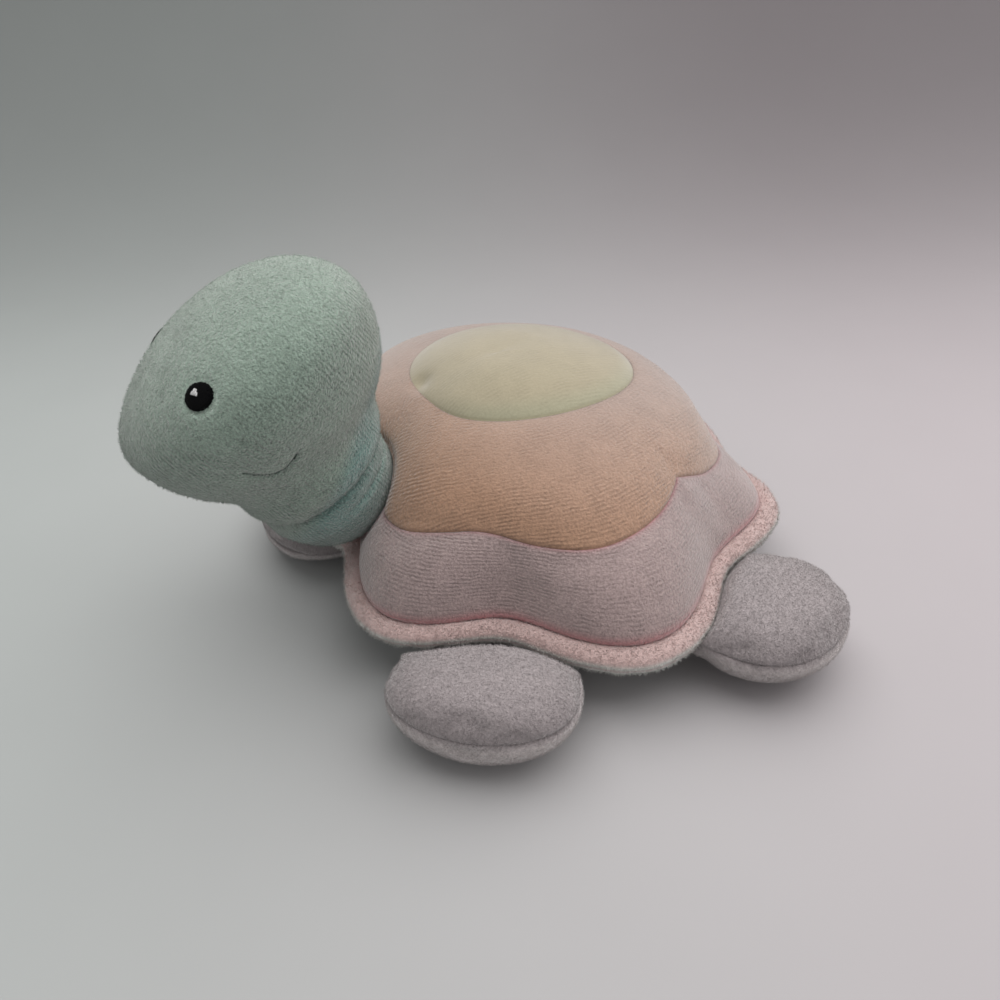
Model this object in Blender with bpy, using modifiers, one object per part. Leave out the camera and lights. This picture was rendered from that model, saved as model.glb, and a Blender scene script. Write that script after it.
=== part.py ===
# Plush turtle lying on its belly: a scalloped stuffed shell, four pillow flippers and a round head on a soft neck.
# The head looks along -Y, up is +Z, and the floor is z = 0. The turtle's left side is +X.

import math

import bmesh
import bpy
import numpy as np
from mathutils import Matrix, Vector

mm = 0.001
degree = math.pi / 180.0

# Cloth and clearances
fabric = 2.0 * mm
filling_gap = 0.45 * mm
flipper_filling_gap = 0.65 * mm
panel_gap = 0.35 * mm
seat_gap = 0.3 * mm
neck_clearance = 0.4 * mm

# Shell outline, seen from above: the reach of each lobe and hollow from the middle of the shell
front_hollow_reach = 62.0 * mm
front_lobe_reach = 86.0 * mm
front_side_hollow_reach = 80.0 * mm
side_lobe_reach = 103.0 * mm
rear_side_hollow_reach = 88.0 * mm
rear_lobe_reach = 95.0 * mm
tail_hollow_reach = 86.0 * mm
front_lobe_turn = 36.0 * degree
front_side_hollow_turn = 57.0 * degree
side_lobe_turn = 87.0 * degree
rear_side_hollow_turn = 114.0 * degree
rear_lobe_turn = 137.0 * degree

# Dome of the shell
dome_height = 80.5 * mm
dome_foot = 24.5 * mm
dome_power = 1.6
dome_front_reach = 70.0 * mm
dome_tail_reach = 90.0 * mm
dome_lobe_power = 4.0
patch_front_share = 0.66
patch_front_lobe_share = 0.675
patch_side_hollow_share = 0.627
patch_side_lobe_share = 0.66
patch_notch_share = 0.622
patch_rear_lobe_share = 0.70
patch_tail_share = 0.68
patch_front_lobe_turn = 30.0 * degree
patch_side_hollow_turn = 54.0 * degree
patch_side_lobe_turn = 80.0 * degree
patch_notch_turn = 112.5 * degree
patch_rear_lobe_turn = 137.0 * degree
oval_edge_share = 0.36
oval_forward_share = 0.13
oval_width_share = 0.08

# Padded rim round the foot of the dome
rim_half_width = 5.5 * mm
rim_half_height = 4.4 * mm
rim_outward = 1.8 * mm

# Belly
belly_slack_height = 15.0 * mm
belly_slack_share = 0.76
belly_shoulder_share = 0.62
belly_shoulder_height = 8.0 * mm
belly_foot_share = 0.50

# Neck: a soft turned ball with a fold and a second roll below it. Head and neck swing about the ball's middle
neck_pivot_forward = 74.5 * mm
neck_pivot_height = 66.0 * mm
neck_lean = 33.0 * degree
neck_radius = 29.0 * mm
neck_fold_radius = 26.6 * mm
neck_roll_radius = 27.8 * mm
neck_root_radius = 18.0 * mm
neck_crown_radius = 16.0 * mm
neck_fold_drop = 6.5 * mm
neck_roll_drop = 13.5 * mm
neck_root_drop = 31.0 * mm

# Head
head_forward = 90.0 * mm
head_height = 98.0 * mm
head_droop = 24.0 * degree
head_half_width = 35.0 * mm
snout_length = 42.5 * mm
head_back_length = 46.0 * mm
head_crown_height = 24.0 * mm
head_chin_depth = 40.0 * mm
head_power = 1.95
snout_narrow_share = 0.06
brow_slope_share = 0.24

# Face: places on the head, sideways, forward and up from the middle of the head
eye_half_length = 4.7 * mm
eye_half_height = 4.3 * mm
eye_thickness = 0.9 * mm
eye_side = 23.3 * mm
eye_forward = 12.1 * mm
eye_up = 14.7 * mm
glint_radius = 0.9 * mm
glint_thickness = 0.35 * mm
glint_lift = 1.3 * mm
smile_thread_radius = 0.5 * mm
smile_back = 0.2 * mm
smile_front = 17.9 * mm
smile_corner_drop = 11.3 * mm
smile_front_drop = 7.1 * mm
smile_sag = 6.4 * mm
smile_side = 32.0 * mm

# Flippers: each a pillow sewn on at a root line under the rim, and widest at a stand-off from that line
front_flipper_half_width = 30.5 * mm
front_flipper_stand_off = 24.0 * mm
front_flipper_outer_length = 22.5 * mm
front_flipper_top = 29.0 * mm
front_flipper_seam = 17.0 * mm
front_flipper_turn = 58.4 * degree
front_flipper_aim = 46.0 * degree
rear_flipper_half_width = 28.5 * mm
rear_flipper_stand_off = 19.0 * mm
rear_flipper_outer_length = 27.0 * mm
rear_flipper_top = 28.5 * mm
rear_flipper_seam = 16.5 * mm
rear_flipper_turn = 106.4 * degree
rear_flipper_aim = 112.0 * degree
folded_flipper_turn = 43.8 * degree
folded_flipper_aim = 23.5 * degree
folded_flipper_tuck = 31.1 * mm
folded_flipper_stand_off = 20.0 * mm
flipper_tail_length = 4.0 * mm
flipper_slack = 0.1 * mm
folded_flipper_slack = 0.4 * mm
flipper_rise_start = 5.5 * mm
flipper_rise_length = 18.0 * mm
flipper_power = 2.2

# Facets
shell_columns = 48
head_columns = 24
flipper_columns = 22
neck_steps = 32
patch_steps = 12

colours = {
    "lilac_velour": (0.44, 0.37, 0.40, 0.95),
    "peach_velour": (0.56, 0.36, 0.26, 0.95),
    "yellow_velour": (0.52, 0.48, 0.33, 0.95),
    "pink_velour": (0.60, 0.43, 0.42, 0.95),
    "pale_mint_velour": (0.66, 0.70, 0.66, 0.95),
    "mint_velour": (0.34, 0.44, 0.38, 0.95),
    "aqua_velour": (0.30, 0.44, 0.40, 0.95),
    "grey_lilac_velour": (0.42, 0.39, 0.41, 0.95),
    "fibre_filling": (0.88, 0.88, 0.86, 0.98),
    "black_thread": (0.01, 0.01, 0.01, 0.55),
    "white_thread": (0.85, 0.85, 0.85, 0.55),
    "smile_thread": (0.10, 0.15, 0.12, 0.80),
}


def clear_scene():
    for old in list(bpy.data.objects):
        bpy.data.objects.remove(old, do_unlink=True)


def collection_named(name):
    found = bpy.data.collections.new(name)
    bpy.context.scene.collection.children.link(found)
    return found


def finish_of(name):
    known = bpy.data.materials.get(name)
    if known:
        return known
    red, green, blue, roughness = colours[name]
    made = bpy.data.materials.new(name)
    made.use_nodes = True
    surface = made.node_tree.nodes["Principled BSDF"]
    surface.inputs["Base Color"].default_value = (red, green, blue, 1.0)
    surface.inputs["Roughness"].default_value = roughness
    surface.inputs["Metallic"].default_value = 0.0
    return made


def loft(name, rings, finish, home, closed=False):
    """Joins rings of equal counts, and single points as poles, into one closed body.

    Each four-sided gap is split along its shorter diagonal, so that two skins a little apart stay apart.
    """
    shape = bmesh.new()
    rows = [[shape.verts.new(Vector(point)) for point in np.atleast_2d(ring)] for ring in rings]
    pairs = list(zip(rows, rows[1:]))
    if closed:
        pairs.append((rows[-1], rows[0]))
    for low, high in pairs:
        count = max(len(low), len(high))
        for here in range(count):
            after = (here + 1) % count
            if len(low) == 1 and len(high) > 1:
                shape.faces.new((low[0], high[after], high[here]))
            elif len(high) == 1 and len(low) > 1:
                shape.faces.new((low[here], low[after], high[0]))
            elif len(low) > 1:
                falling = (low[here].co - high[after].co).length
                rising = (low[after].co - high[here].co).length
                if falling < rising:
                    shape.faces.new((low[here], low[after], high[after]))
                    shape.faces.new((low[here], high[after], high[here]))
                else:
                    shape.faces.new((low[here], low[after], high[here]))
                    shape.faces.new((low[after], high[after], high[here]))
    bmesh.ops.recalc_face_normals(shape, faces=shape.faces)
    mesh = bpy.data.meshes.new(name)
    shape.to_mesh(mesh)
    shape.free()
    return place(name, mesh, finish, home)


def place(name, data, finish, home):
    made = bpy.data.objects.new(name, data)
    if finish:
        data.materials.append(finish_of(finish))
    home.objects.link(made)
    return made


def pivot(name, location, home, turn=0.0):
    made = bpy.data.objects.new(name, None)
    made.empty_display_size = fabric
    made.location = location
    made.rotation_euler = (0.0, 0.0, turn)
    home.objects.link(made)
    return made


def hang_on(piece, empty):
    """Puts a piece that was made in world places on an empty, which stays its origin."""
    piece.data.transform(Matrix.Translation(-empty.location))
    piece.parent = empty


def cutter(piece):
    piece.hide_render = True
    piece.display_type = "WIRE"
    return piece


def cut(piece, tool):
    modifier = piece.modifiers.new("cut by " + tool.name, "BOOLEAN")
    modifier.operation = "DIFFERENCE"
    modifier.solver = "EXACT"
    modifier.object = tool


def rounded(angle, power):
    """The two sides of a unit superellipse at an angle."""
    across = math.copysign(abs(math.cos(angle)) ** (2.0 / power), math.cos(angle))
    up = math.copysign(abs(math.sin(angle)) ** (2.0 / power), math.sin(angle))
    return across, up


def eased(share):
    share = min(max(share, 0.0), 1.0)
    return share * share * (3.0 - 2.0 * share)


# Shell

def outline_marks():
    return [
        (0.0, front_hollow_reach),
        (front_lobe_turn, front_lobe_reach),
        (front_side_hollow_turn, front_side_hollow_reach),
        (side_lobe_turn, side_lobe_reach),
        (rear_side_hollow_turn, rear_side_hollow_reach),
        (rear_lobe_turn, rear_lobe_reach),
        (math.pi, tail_hollow_reach),
    ]


def patch_marks():
    return [
        (0.0, patch_front_share),
        (patch_front_lobe_turn, patch_front_lobe_share),
        (patch_side_hollow_turn, patch_side_hollow_share),
        (patch_side_lobe_turn, patch_side_lobe_share),
        (patch_notch_turn, patch_notch_share),
        (patch_rear_lobe_turn, patch_rear_lobe_share),
        (math.pi, patch_tail_share),
    ]


def waved(turn, marks):
    """Value at a turn from the head, the same to both sides, eased from each mark to the next."""
    turn = abs((turn + math.pi) % (2.0 * math.pi) - math.pi)
    for (low, near), (high, far) in zip(marks, marks[1:]):
        if turn <= high:
            return near + (far - near) * (1.0 - math.cos(math.pi * (turn - low) / (high - low))) / 2.0
    return marks[-1][1]


def outline_reach(turn):
    """Reach of the shell's foot at a turn from the head."""
    return waved(turn, outline_marks())


def plain_reach(turn):
    """Reach of the dome without its lobes, which is what it has near its top."""
    long_reach = (dome_front_reach + dome_tail_reach) / 2.0
    long_reach -= (dome_tail_reach - dome_front_reach) / 2.0 * math.cos(turn)
    wide_reach = (side_lobe_reach + rear_side_hollow_reach) / 2.0
    return math.hypot(long_reach * math.cos(turn), wide_reach * math.sin(turn))


def towards(turn, reach, height):
    return (reach * math.sin(turn), -reach * math.cos(turn), height)


def shell_turns():
    return [2.0 * math.pi * column / shell_columns for column in range(shell_columns)]


def dome_place(share, turn, inset):
    """Share 0 is the top of the dome and 1 its foot."""
    out, up = rounded(math.pi / 2.0 * (1.0 - share), dome_power)
    lobes = out ** dome_lobe_power
    reach = plain_reach(turn) + (outline_reach(turn) - plain_reach(turn)) * lobes
    height = dome_foot + (dome_height - dome_foot - inset) * up
    return towards(turn, (reach - inset) * out, height)


def dome_ring(share_at, inset):
    return np.array([dome_place(share_at(turn), turn, inset) for turn in shell_turns()])


def foot_share(turn):
    return 1.0


def patch_share(turn):
    return waved(turn, patch_marks())


def oval_share(turn):
    return oval_edge_share * (
        1.0 - oval_forward_share * math.cos(turn) + oval_width_share * math.cos(2.0 * turn)
    )


def top_share(turn):
    return 0.0


def between(upper, lower, part, upper_gap=0.0, lower_gap=0.0):
    """The share part of the way down from one edge to another, each edge drawn in by half a panel gap."""
    length = math.hypot(dome_height - dome_foot, side_lobe_reach)

    def share_at(turn):
        high = upper(turn) + upper_gap / length
        low = lower(turn) - lower_gap / length
        return high + (low - high) * part

    return share_at


oval_parts = (0.5, 1.0)
patch_parts = (0.0, 0.25, 0.5, 0.75, 1.0)
skirt_parts = (0.0, 0.33, 0.66, 1.0)


def panel_rows(upper, lower, parts, upper_gap, lower_gap, inset):
    return [dome_ring(between(upper, lower, part, upper_gap, lower_gap), inset) for part in parts]


def shell_panels(home, neck_tool):
    top = np.array([[0.0, 0.0, dome_height]])
    under_top = np.array([[0.0, 0.0, dome_height - fabric]])
    outer, inner = [
        panel_rows(top_share, oval_share, oval_parts, 0.0, panel_gap, inset) for inset in (0.0, fabric)
    ]
    loft("shell_oval_panel", [top] + outer + inner[::-1] + [under_top], "yellow_velour", home)
    outer, inner = [
        panel_rows(oval_share, patch_share, patch_parts, panel_gap, panel_gap, inset)
        for inset in (0.0, fabric)
    ]
    patch = loft("shell_patch_panel", outer + inner[::-1], "peach_velour", home, closed=True)
    outer, inner = [
        panel_rows(patch_share, foot_share, skirt_parts, panel_gap, 0.0, inset) for inset in (0.0, fabric)
    ]
    skirt = loft("shell_skirt_panel", outer + inner[::-1], "lilac_velour", home, closed=True)
    for piece in (patch, skirt):
        cut(piece, neck_tool)


def rim_height():
    """Middle of the rim, which carries the dome's foot on the facet beside its top."""
    share = rim_outward / (rim_half_width * math.cos(math.pi / 4.0))
    crease = rim_half_height * (1.0 - share * (1.0 - math.sin(math.pi / 4.0)))
    return dome_foot - seat_gap - crease


def rim_reach(turn):
    return outline_reach(turn) + rim_outward + rim_half_width


def outline_normal(turn):
    """Outward direction, square to the outline."""
    step = math.pi / shell_columns
    before = Vector(towards(turn - step, outline_reach(turn - step), 0.0))
    after = Vector(towards(turn + step, outline_reach(turn + step), 0.0))
    along = (after - before).normalized()
    return Vector((along.y, -along.x, 0.0))


def rim_ring(angle):
    ring = []
    for turn in shell_turns():
        foot = Vector(towards(turn, outline_reach(turn), rim_height()))
        out = outline_normal(turn)
        foot += out * (rim_outward + rim_half_width * math.cos(angle))
        foot.z += rim_half_height * math.sin(angle)
        ring.append(foot)
    return np.array(ring)


def rim(home, neck_tool):
    rings = [rim_ring(2.0 * math.pi * step / 8) for step in range(8)]
    piece = loft("shell_rim_roll", rings, "pink_velour", home, closed=True)
    cut(piece, neck_tool)


def inner_reach(turn):
    return outline_reach(turn) + rim_outward - rim_half_width - seat_gap


def inner_ring(share, height, inset):
    """Ring inside the rim, at a share of the way out to it."""
    ring = []
    for turn in shell_turns():
        edge = Vector(towards(turn, outline_reach(turn), 0.0))
        edge += outline_normal(turn) * (rim_outward - rim_half_width - seat_gap - inset)
        ring.append((edge.x * share, edge.y * share, height))
    return np.array(ring)


def belly_marks():
    """Share of the way out to the rim, and height there, from the rim in to the flat that it lies on."""
    return [
        (1.0, rim_height()),
        (belly_slack_share, belly_slack_height),
        (belly_shoulder_share, belly_shoulder_height),
        (belly_foot_share, 0.0),
    ]


def belly_rows(inset):
    rows = [inner_ring(share, height + inset, inset) for share, height in belly_marks()]
    return rows + [np.array([[0.0, 0.0, inset]])]


def belly(home):
    outer = belly_rows(0.0)
    inner = belly_rows(fabric)
    loft("belly_panel", outer[::-1] + inner, "pale_mint_velour", home)


def body_filling(home, neck_tool):
    inset = fabric + filling_gap
    rows = [np.array([[0.0, 0.0, dome_height - inset]])]
    rows += panel_rows(top_share, oval_share, oval_parts, 0.0, 0.0, inset)
    rows += panel_rows(oval_share, patch_share, patch_parts[1:], 0.0, 0.0, inset)
    rows += panel_rows(patch_share, foot_share, skirt_parts[1:], 0.0, 0.0, inset)
    rows.append(inner_ring(1.0, dome_foot - filling_gap, filling_gap))
    piece = loft("body_filling", rows + belly_rows(inset), "fibre_filling", home)
    cut(piece, neck_tool)


# Neck

def neck_pivot():
    return Vector((0.0, -neck_pivot_forward, neck_pivot_height))


def neck_profile(inset):
    """Radius and rise along the neck, from its root in the shell to its crown in the head."""
    ball = neck_radius - inset
    crown_rise = math.sqrt(neck_radius ** 2 - neck_crown_radius ** 2) - inset
    marks = [
        (neck_root_radius - inset, inset - neck_root_drop),
        (neck_roll_radius - inset, -neck_roll_drop),
        (neck_fold_radius - inset, -neck_fold_drop),
    ]
    steps = 6
    low = -math.asin(neck_fold_drop / neck_radius / 2.0)
    high = math.asin(crown_rise / ball)
    for step in range(steps):
        angle = low + (high - low) * step / (steps - 1)
        marks.append((ball * math.cos(angle), ball * math.sin(angle)))
    return marks


def turned(name, profile, finish, home, closed):
    """A profile of radius and rise, turned about the neck's own line."""
    mesh = bpy.data.meshes.new(name)
    points = [(radius, 0.0, rise) for radius, rise in profile]
    edges = [(index, index + 1) for index in range(len(points) - 1)]
    if closed:
        edges.append((len(points) - 1, 0))
    mesh.from_pydata(points, edges, [])
    piece = place(name, mesh, finish, home)
    screw = piece.modifiers.new("turn", "SCREW")
    screw.axis = "Z"
    screw.angle = 2.0 * math.pi
    screw.steps = neck_steps
    screw.render_steps = neck_steps
    screw.use_merge_vertices = True
    screw.merge_threshold = 0.00001
    screw.use_normal_calculate = True
    piece.rotation_euler = (neck_lean, 0.0, 0.0)
    return piece


def neck_tool(home):
    """The space that the neck takes, with its clearance, down to its root inside the shell."""
    grown = neck_profile(-neck_clearance)
    profile = [(0.0, grown[0][1])] + grown + [(0.0, grown[-1][1])]
    piece = turned("neck_space", profile, None, home, closed=False)
    piece.location = neck_pivot()
    return cutter(piece)


def head_socket(home):
    radius = neck_radius + neck_clearance
    shape = bmesh.new()
    bmesh.ops.create_uvsphere(shape, u_segments=neck_steps, v_segments=neck_steps, radius=radius)
    mesh = bpy.data.meshes.new("head_socket_space")
    shape.to_mesh(mesh)
    shape.free()
    piece = place("head_socket_space", mesh, None, home)
    piece.location = neck_pivot()
    piece.rotation_euler = (neck_lean, 0.0, 0.0)
    return cutter(piece)


def neck(home, empty):
    outer = neck_profile(0.0)
    inner = neck_profile(fabric)
    cover = turned("neck_cover", outer + inner[::-1], "aqua_velour", home, closed=True)
    cover.parent = empty
    core = neck_profile(fabric + filling_gap)
    core = [(0.0, core[0][1])] + core + [(0.0, core[-1][1])]
    filling = turned("neck_filling", core, "fibre_filling", home, closed=False)
    filling.parent = empty


# Head

def head_middle():
    return Vector((0.0, -head_forward, head_height))


def head_tilt():
    return Matrix.Rotation(head_droop, 3, "X")


def head_size(side, forward, up, inset):
    """How far out a point of the head lies: 1 on the surface drawn in by the inset."""
    length = (snout_length if forward > 0.0 else head_back_length) - inset
    ahead = forward / length
    width = (head_half_width - inset) * (1.0 - snout_narrow_share * ahead)
    if up > 0.0:
        height = (head_crown_height - inset) * (1.0 - brow_slope_share * ahead)
    else:
        height = head_chin_depth - inset
    power = head_power
    return (abs(side / width) ** power + abs(ahead) ** power + abs(up / height) ** power) ** (1.0 / power)


def skin_place(side, forward, up, lift):
    """The place on the head's skin in the direction of another, raised by a lift, in the head's own axes."""
    place_now = Vector((side, forward, up))
    for _ in range(6):
        place_now = place_now / head_size(*place_now, -lift)
    return place_now


def on_head(side, forward, up, lift):
    local = skin_place(side, forward, up, lift)
    return head_middle() + head_tilt() @ Vector((local.x, -local.y, local.z))


head_rises = (-72, -54, -36, -18, 0, 18, 36, 54, 72, 90)


def head_rows(rises, inset):
    rows = []
    for rise in rises:
        ring = []
        for column in range(1 if abs(rise) == 90 else head_columns):
            turn = 2.0 * math.pi * column / head_columns
            flat = math.cos(rise * degree)
            ring.append(on_head(
                head_half_width * math.sin(turn) * flat,
                snout_length * math.cos(turn) * flat,
                head_crown_height * math.sin(rise * degree) if rise else 0.0,
                -inset,
            ))
        rows.append(np.array(ring))
    return rows


def head(home, socket, empty):
    """The cover is a bag that stays open below, where the socket for the neck is cut."""
    outer = head_rows(head_rises, 0.0)
    inner = head_rows(head_rises, fabric)
    cover = loft("head_cover", outer + inner[::-1], "mint_velour", home, closed=True)
    core = head_rows((-90,) + head_rises, fabric + flipper_filling_gap)
    filling = loft("head_filling", core, "fibre_filling", home)
    for piece in (cover, filling):
        cut(piece, socket)
        hang_on(piece, empty)


def disc_on_head(name, middle, half_length, half_height, low, high, finish, home):
    """A thin oval patch that follows the head's skin, from one lift to another.

    It is drawn in the flat that touches the skin at its middle: along the snout, and square to that.
    """
    side, forward, up = middle
    seat = skin_place(side, forward, up, 0.0)
    ahead = skin_place(side, forward + eye_thickness, up, 0.0) - seat
    above = skin_place(side, forward, up + eye_thickness, 0.0) - seat
    ahead.normalize()
    above = (above - ahead * above.dot(ahead)).normalized()
    rings = []
    for lift, shares in ((low, (0.0, 0.55, 1.0)), (high, (0.92, 0.5, 0.0))):
        for share in shares:
            ring = []
            for step in range(1 if share == 0.0 else patch_steps):
                angle = 2.0 * math.pi * step / patch_steps
                spot = seat + ahead * (half_length * share * math.cos(angle))
                spot += above * (half_height * share * math.sin(angle))
                ring.append(on_head(*spot, lift))
            rings.append(np.array(ring))
    return loft(name, rings, finish, home)


def face(home, empty):
    for side, word in ((1.0, "left"), (-1.0, "right")):
        eye_middle = (side * eye_side, eye_forward, eye_up)
        glint_middle = (side * eye_side, eye_forward + glint_radius, eye_up + glint_lift)
        eye_top = seat_gap + eye_thickness
        eye = disc_on_head(
            word + "_eye", eye_middle, eye_half_length, eye_half_height,
            seat_gap, eye_top, "black_thread", home,
        )
        glint = disc_on_head(
            word + "_eye_glint", glint_middle, glint_radius, glint_radius,
            eye_top + seat_gap, eye_top + seat_gap + glint_thickness, "white_thread", home,
        )
        smile = smile_thread(word + "_smile_stitch", side, home)
        for piece in (eye, glint, smile):
            hang_on(piece, empty)


def smile_thread(name, side, home):
    """A sagging arc of thread on the cheek, as a round tube along the skin."""
    curve = bpy.data.curves.new(name, "CURVE")
    curve.dimensions = "3D"
    curve.bevel_depth = smile_thread_radius
    curve.bevel_resolution = 1
    curve.use_fill_caps = True
    count = 9
    spline = curve.splines.new("POLY")
    spline.points.add(count - 1)
    for index in range(count):
        share = index / (count - 1)
        forward = smile_back + (smile_front - smile_back) * share
        straight = -smile_corner_drop + (smile_corner_drop - smile_front_drop) * share
        up = straight - smile_sag * math.sin(math.pi * share)
        point = on_head(side * smile_side, forward, up, seat_gap + smile_thread_radius)
        spline.points[index].co = (*point, 1.0)
    return place(name, curve, "smile_thread", home)


# Flippers

def towards_aim(aim):
    return Vector((math.sin(aim), -math.cos(aim), 0.0))


def shell_underside(point):
    """Height of the rim's and the belly's underside over a point on the floor, and the way out from the rim."""
    turn = math.atan2(point.x, -point.y)
    reach = math.hypot(point.x, point.y)
    rim_middle = outline_reach(turn) + rim_outward
    height = rim_height() - rim_half_height
    share = reach / inner_reach(turn)
    marks = belly_marks()
    for (out, high), (within, low) in zip(marks, marks[1:]):
        if within <= share < out:
            height = min(height, low + (high - low) * (share - within) / (out - within))
    return height, reach - rim_middle


def pressed_top(point, top, slack):
    """Height that a flipper's top has over a point: full out in the open, and low under the shell."""
    height, out = shell_underside(point)
    low = height - seat_gap - slack
    return low + (top - low) * eased((out - flipper_rise_start) / flipper_rise_length)


def flipper_rings(sizes, root, aim, slack, rises, inset):
    """Rings of a flipper's skin in its own places: x across, y out from the root line, z up."""
    half_width, stand_off, outer_length, top, seam = sizes
    ahead = towards_aim(aim)
    across = Vector((ahead.y, -ahead.x, 0.0))
    rings = []
    for rise in rises:
        flat, up = rounded(rise * degree, flipper_power)
        ring = []
        for column in range(1 if abs(flat) < 1e-6 else flipper_columns):
            side, along = rounded(2.0 * math.pi * column / flipper_columns, flipper_power)
            length = outer_length if along > 0.0 else stand_off + flipper_tail_length
            x = (half_width - inset) * side * flat
            y = stand_off + (length - inset) * along * flat
            pressed = pressed_top(root + ahead * y + across * x, top, slack)
            seam_here = seam * pressed / top
            if up > 0.0:
                z = seam_here + min((top - seam - inset) * up, pressed - inset - seam_here)
            else:
                z = seam_here + (seam_here - inset) * up
            ring.append((x, y, z))
        rings.append(np.array(ring))
    return rings


def flipper(word, sizes, root, aim, slack, home):
    """Upper and lower panels that meet at the side seam, and the filling between them."""
    half_width, stand_off, outer_length, top, seam = sizes
    hinge_height = shell_underside(root)[0] - seat_gap - slack
    empty = pivot(word + "_flipper_root", (root.x, root.y, hinge_height), home, aim + math.pi)
    edge = math.asin((panel_gap / 2.0 / (top - seam)) ** (flipper_power / 2.0)) / degree + 1.0
    half = [edge, 30, 54, 75, 90]
    pieces = []
    for name, side in (("upper", 1.0), ("lower", -1.0)):
        rises = [side * rise for rise in half]
        outer = flipper_rings(sizes, root, aim, slack, rises, 0.0)
        inner = flipper_rings(sizes, root, aim, slack, rises, fabric)
        name = word + "_flipper_" + name + "_panel"
        pieces.append(loft(name, outer + inner[::-1], "grey_lilac_velour", home, closed=True))
    rises = [-rise for rise in half[::-1]] + half
    core = flipper_rings(sizes, root, aim, slack, rises, fabric + flipper_filling_gap)
    pieces.append(loft(word + "_flipper_filling", core, "fibre_filling", home))
    for piece in pieces:
        piece.data.transform(Matrix.Translation((0.0, 0.0, -hinge_height)))
        piece.parent = empty


def root_place(turn, tuck):
    """A place on the rim's middle line, or tucked in under the shell from there."""
    return Vector(towards(turn, outline_reach(turn) + rim_outward - tuck, 0.0))


def flippers(home):
    front = (
        front_flipper_half_width, front_flipper_stand_off, front_flipper_outer_length,
        front_flipper_top, front_flipper_seam,
    )
    rear = (
        rear_flipper_half_width, rear_flipper_stand_off, rear_flipper_outer_length,
        rear_flipper_top, rear_flipper_seam,
    )
    folded = (
        front_flipper_half_width, folded_flipper_stand_off, front_flipper_outer_length,
        front_flipper_top, front_flipper_seam,
    )
    root = root_place(front_flipper_turn, 0.0)
    flipper("left_front", front, root, front_flipper_aim, flipper_slack, home)
    root = root_place(-folded_flipper_turn, folded_flipper_tuck)
    flipper("right_front", folded, root, -folded_flipper_aim, folded_flipper_slack, home)
    for side, word in ((1.0, "left_rear"), (-1.0, "right_rear")):
        root = root_place(side * rear_flipper_turn, 0.0)
        flipper(word, rear, root, side * rear_flipper_aim, flipper_slack, home)


def build():
    clear_scene()
    home = collection_named("plush_turtle")
    tools = collection_named("cutters")
    neck_empty = pivot("neck_pivot", neck_pivot(), home)
    head_empty = pivot("head_pivot", neck_pivot(), home)
    neck_space = neck_tool(tools)
    socket_space = head_socket(tools)
    shell_panels(home, neck_space)
    rim(home, neck_space)
    belly(home)
    body_filling(home, neck_space)
    neck(home, neck_empty)
    head(home, socket_space, head_empty)
    face(home, head_empty)
    flippers(home)


build()
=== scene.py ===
# Plush turtle in its own cloth: velour shell, rim, belly, head, neck and four flippers, on a pale floor.
# Shapes are worked out in millimetres and stored in metres. The head looks along -Y, up is +Z.

import math
import bmesh
import bpy
import numpy as np
from mathutils import Matrix, Vector


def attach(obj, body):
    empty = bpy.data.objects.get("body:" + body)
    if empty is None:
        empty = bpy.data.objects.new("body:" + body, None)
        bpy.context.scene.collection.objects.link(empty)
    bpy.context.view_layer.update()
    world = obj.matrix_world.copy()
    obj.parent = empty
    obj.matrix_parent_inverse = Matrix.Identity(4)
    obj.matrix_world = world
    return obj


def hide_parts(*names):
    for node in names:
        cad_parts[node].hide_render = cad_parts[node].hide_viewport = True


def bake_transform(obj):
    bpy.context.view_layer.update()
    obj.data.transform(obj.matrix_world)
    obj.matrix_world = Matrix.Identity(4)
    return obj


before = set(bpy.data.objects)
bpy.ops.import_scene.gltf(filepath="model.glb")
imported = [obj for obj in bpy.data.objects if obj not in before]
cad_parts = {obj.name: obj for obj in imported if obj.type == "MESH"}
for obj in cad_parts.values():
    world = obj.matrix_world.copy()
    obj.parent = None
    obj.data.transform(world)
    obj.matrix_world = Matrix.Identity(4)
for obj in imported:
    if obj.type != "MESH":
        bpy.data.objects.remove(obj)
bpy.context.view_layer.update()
toMetres = 0.001
degree = math.pi / 180
sideways, _, upwards = np.eye(3)


# Smooth step from 0 to 1 between two values: t * t * (3 - 2 t)
def eased(value, low=0.0, high=1.0):
    share = np.clip((value - low) / (high - low), 0, 1)
    return share * share * (3 - 2 * share)


# Bell, 1 at no distance: e to the power of minus the squared distance over the width
def bell(distance, width):
    return np.exp(-(distance / width) ** 2)


# Sharp ridge, 1 at no distance: e to the power of minus the distance over the width
def crease(distance, width):
    return np.exp(-np.abs(distance) / width)


# Unit vectors: each divided by its length
def unit(vectors):
    return vectors / np.maximum(np.linalg.norm(vectors, axis=-1, keepdims=True), 1e-9)


# Even turns round a circle: a whole turn times the number of each place over their count
def turnsRound(count):
    return 2 * math.pi * np.arange(count) / count


# Line through marks of place and value, rounded off by its mean over a count of places up to the reach on
# both sides
def rounded(place, marks, reach, count):
    places, values = np.array(marks, float).T
    shifts = np.linspace(-reach, reach, count)
    return sum(np.interp(place + shift, places, values) for shift in shifts) / count


# Even and lively noise without files: a sum of sines at unequal angles, between about -1 and 1
def ripple(points, size, seed=0):
    x, y, z = [points[..., axis] / size for axis in range(3)]
    s = seed * 1.7
    return (
        np.sin(x * 1.9 + y * 1.1 + 2.1 * np.sin(z * 1.3 + s) + s)
        + np.sin(y * 2.3 - z * 1.7 + 1.7 * np.sin(x * 1.1 + 2 * s) + 2 * s)
        + np.sin(z * 2.1 + x * 1.3 + 1.9 * np.sin(y * 0.9 + 3 * s) + 3 * s)
    ) / 3


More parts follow.
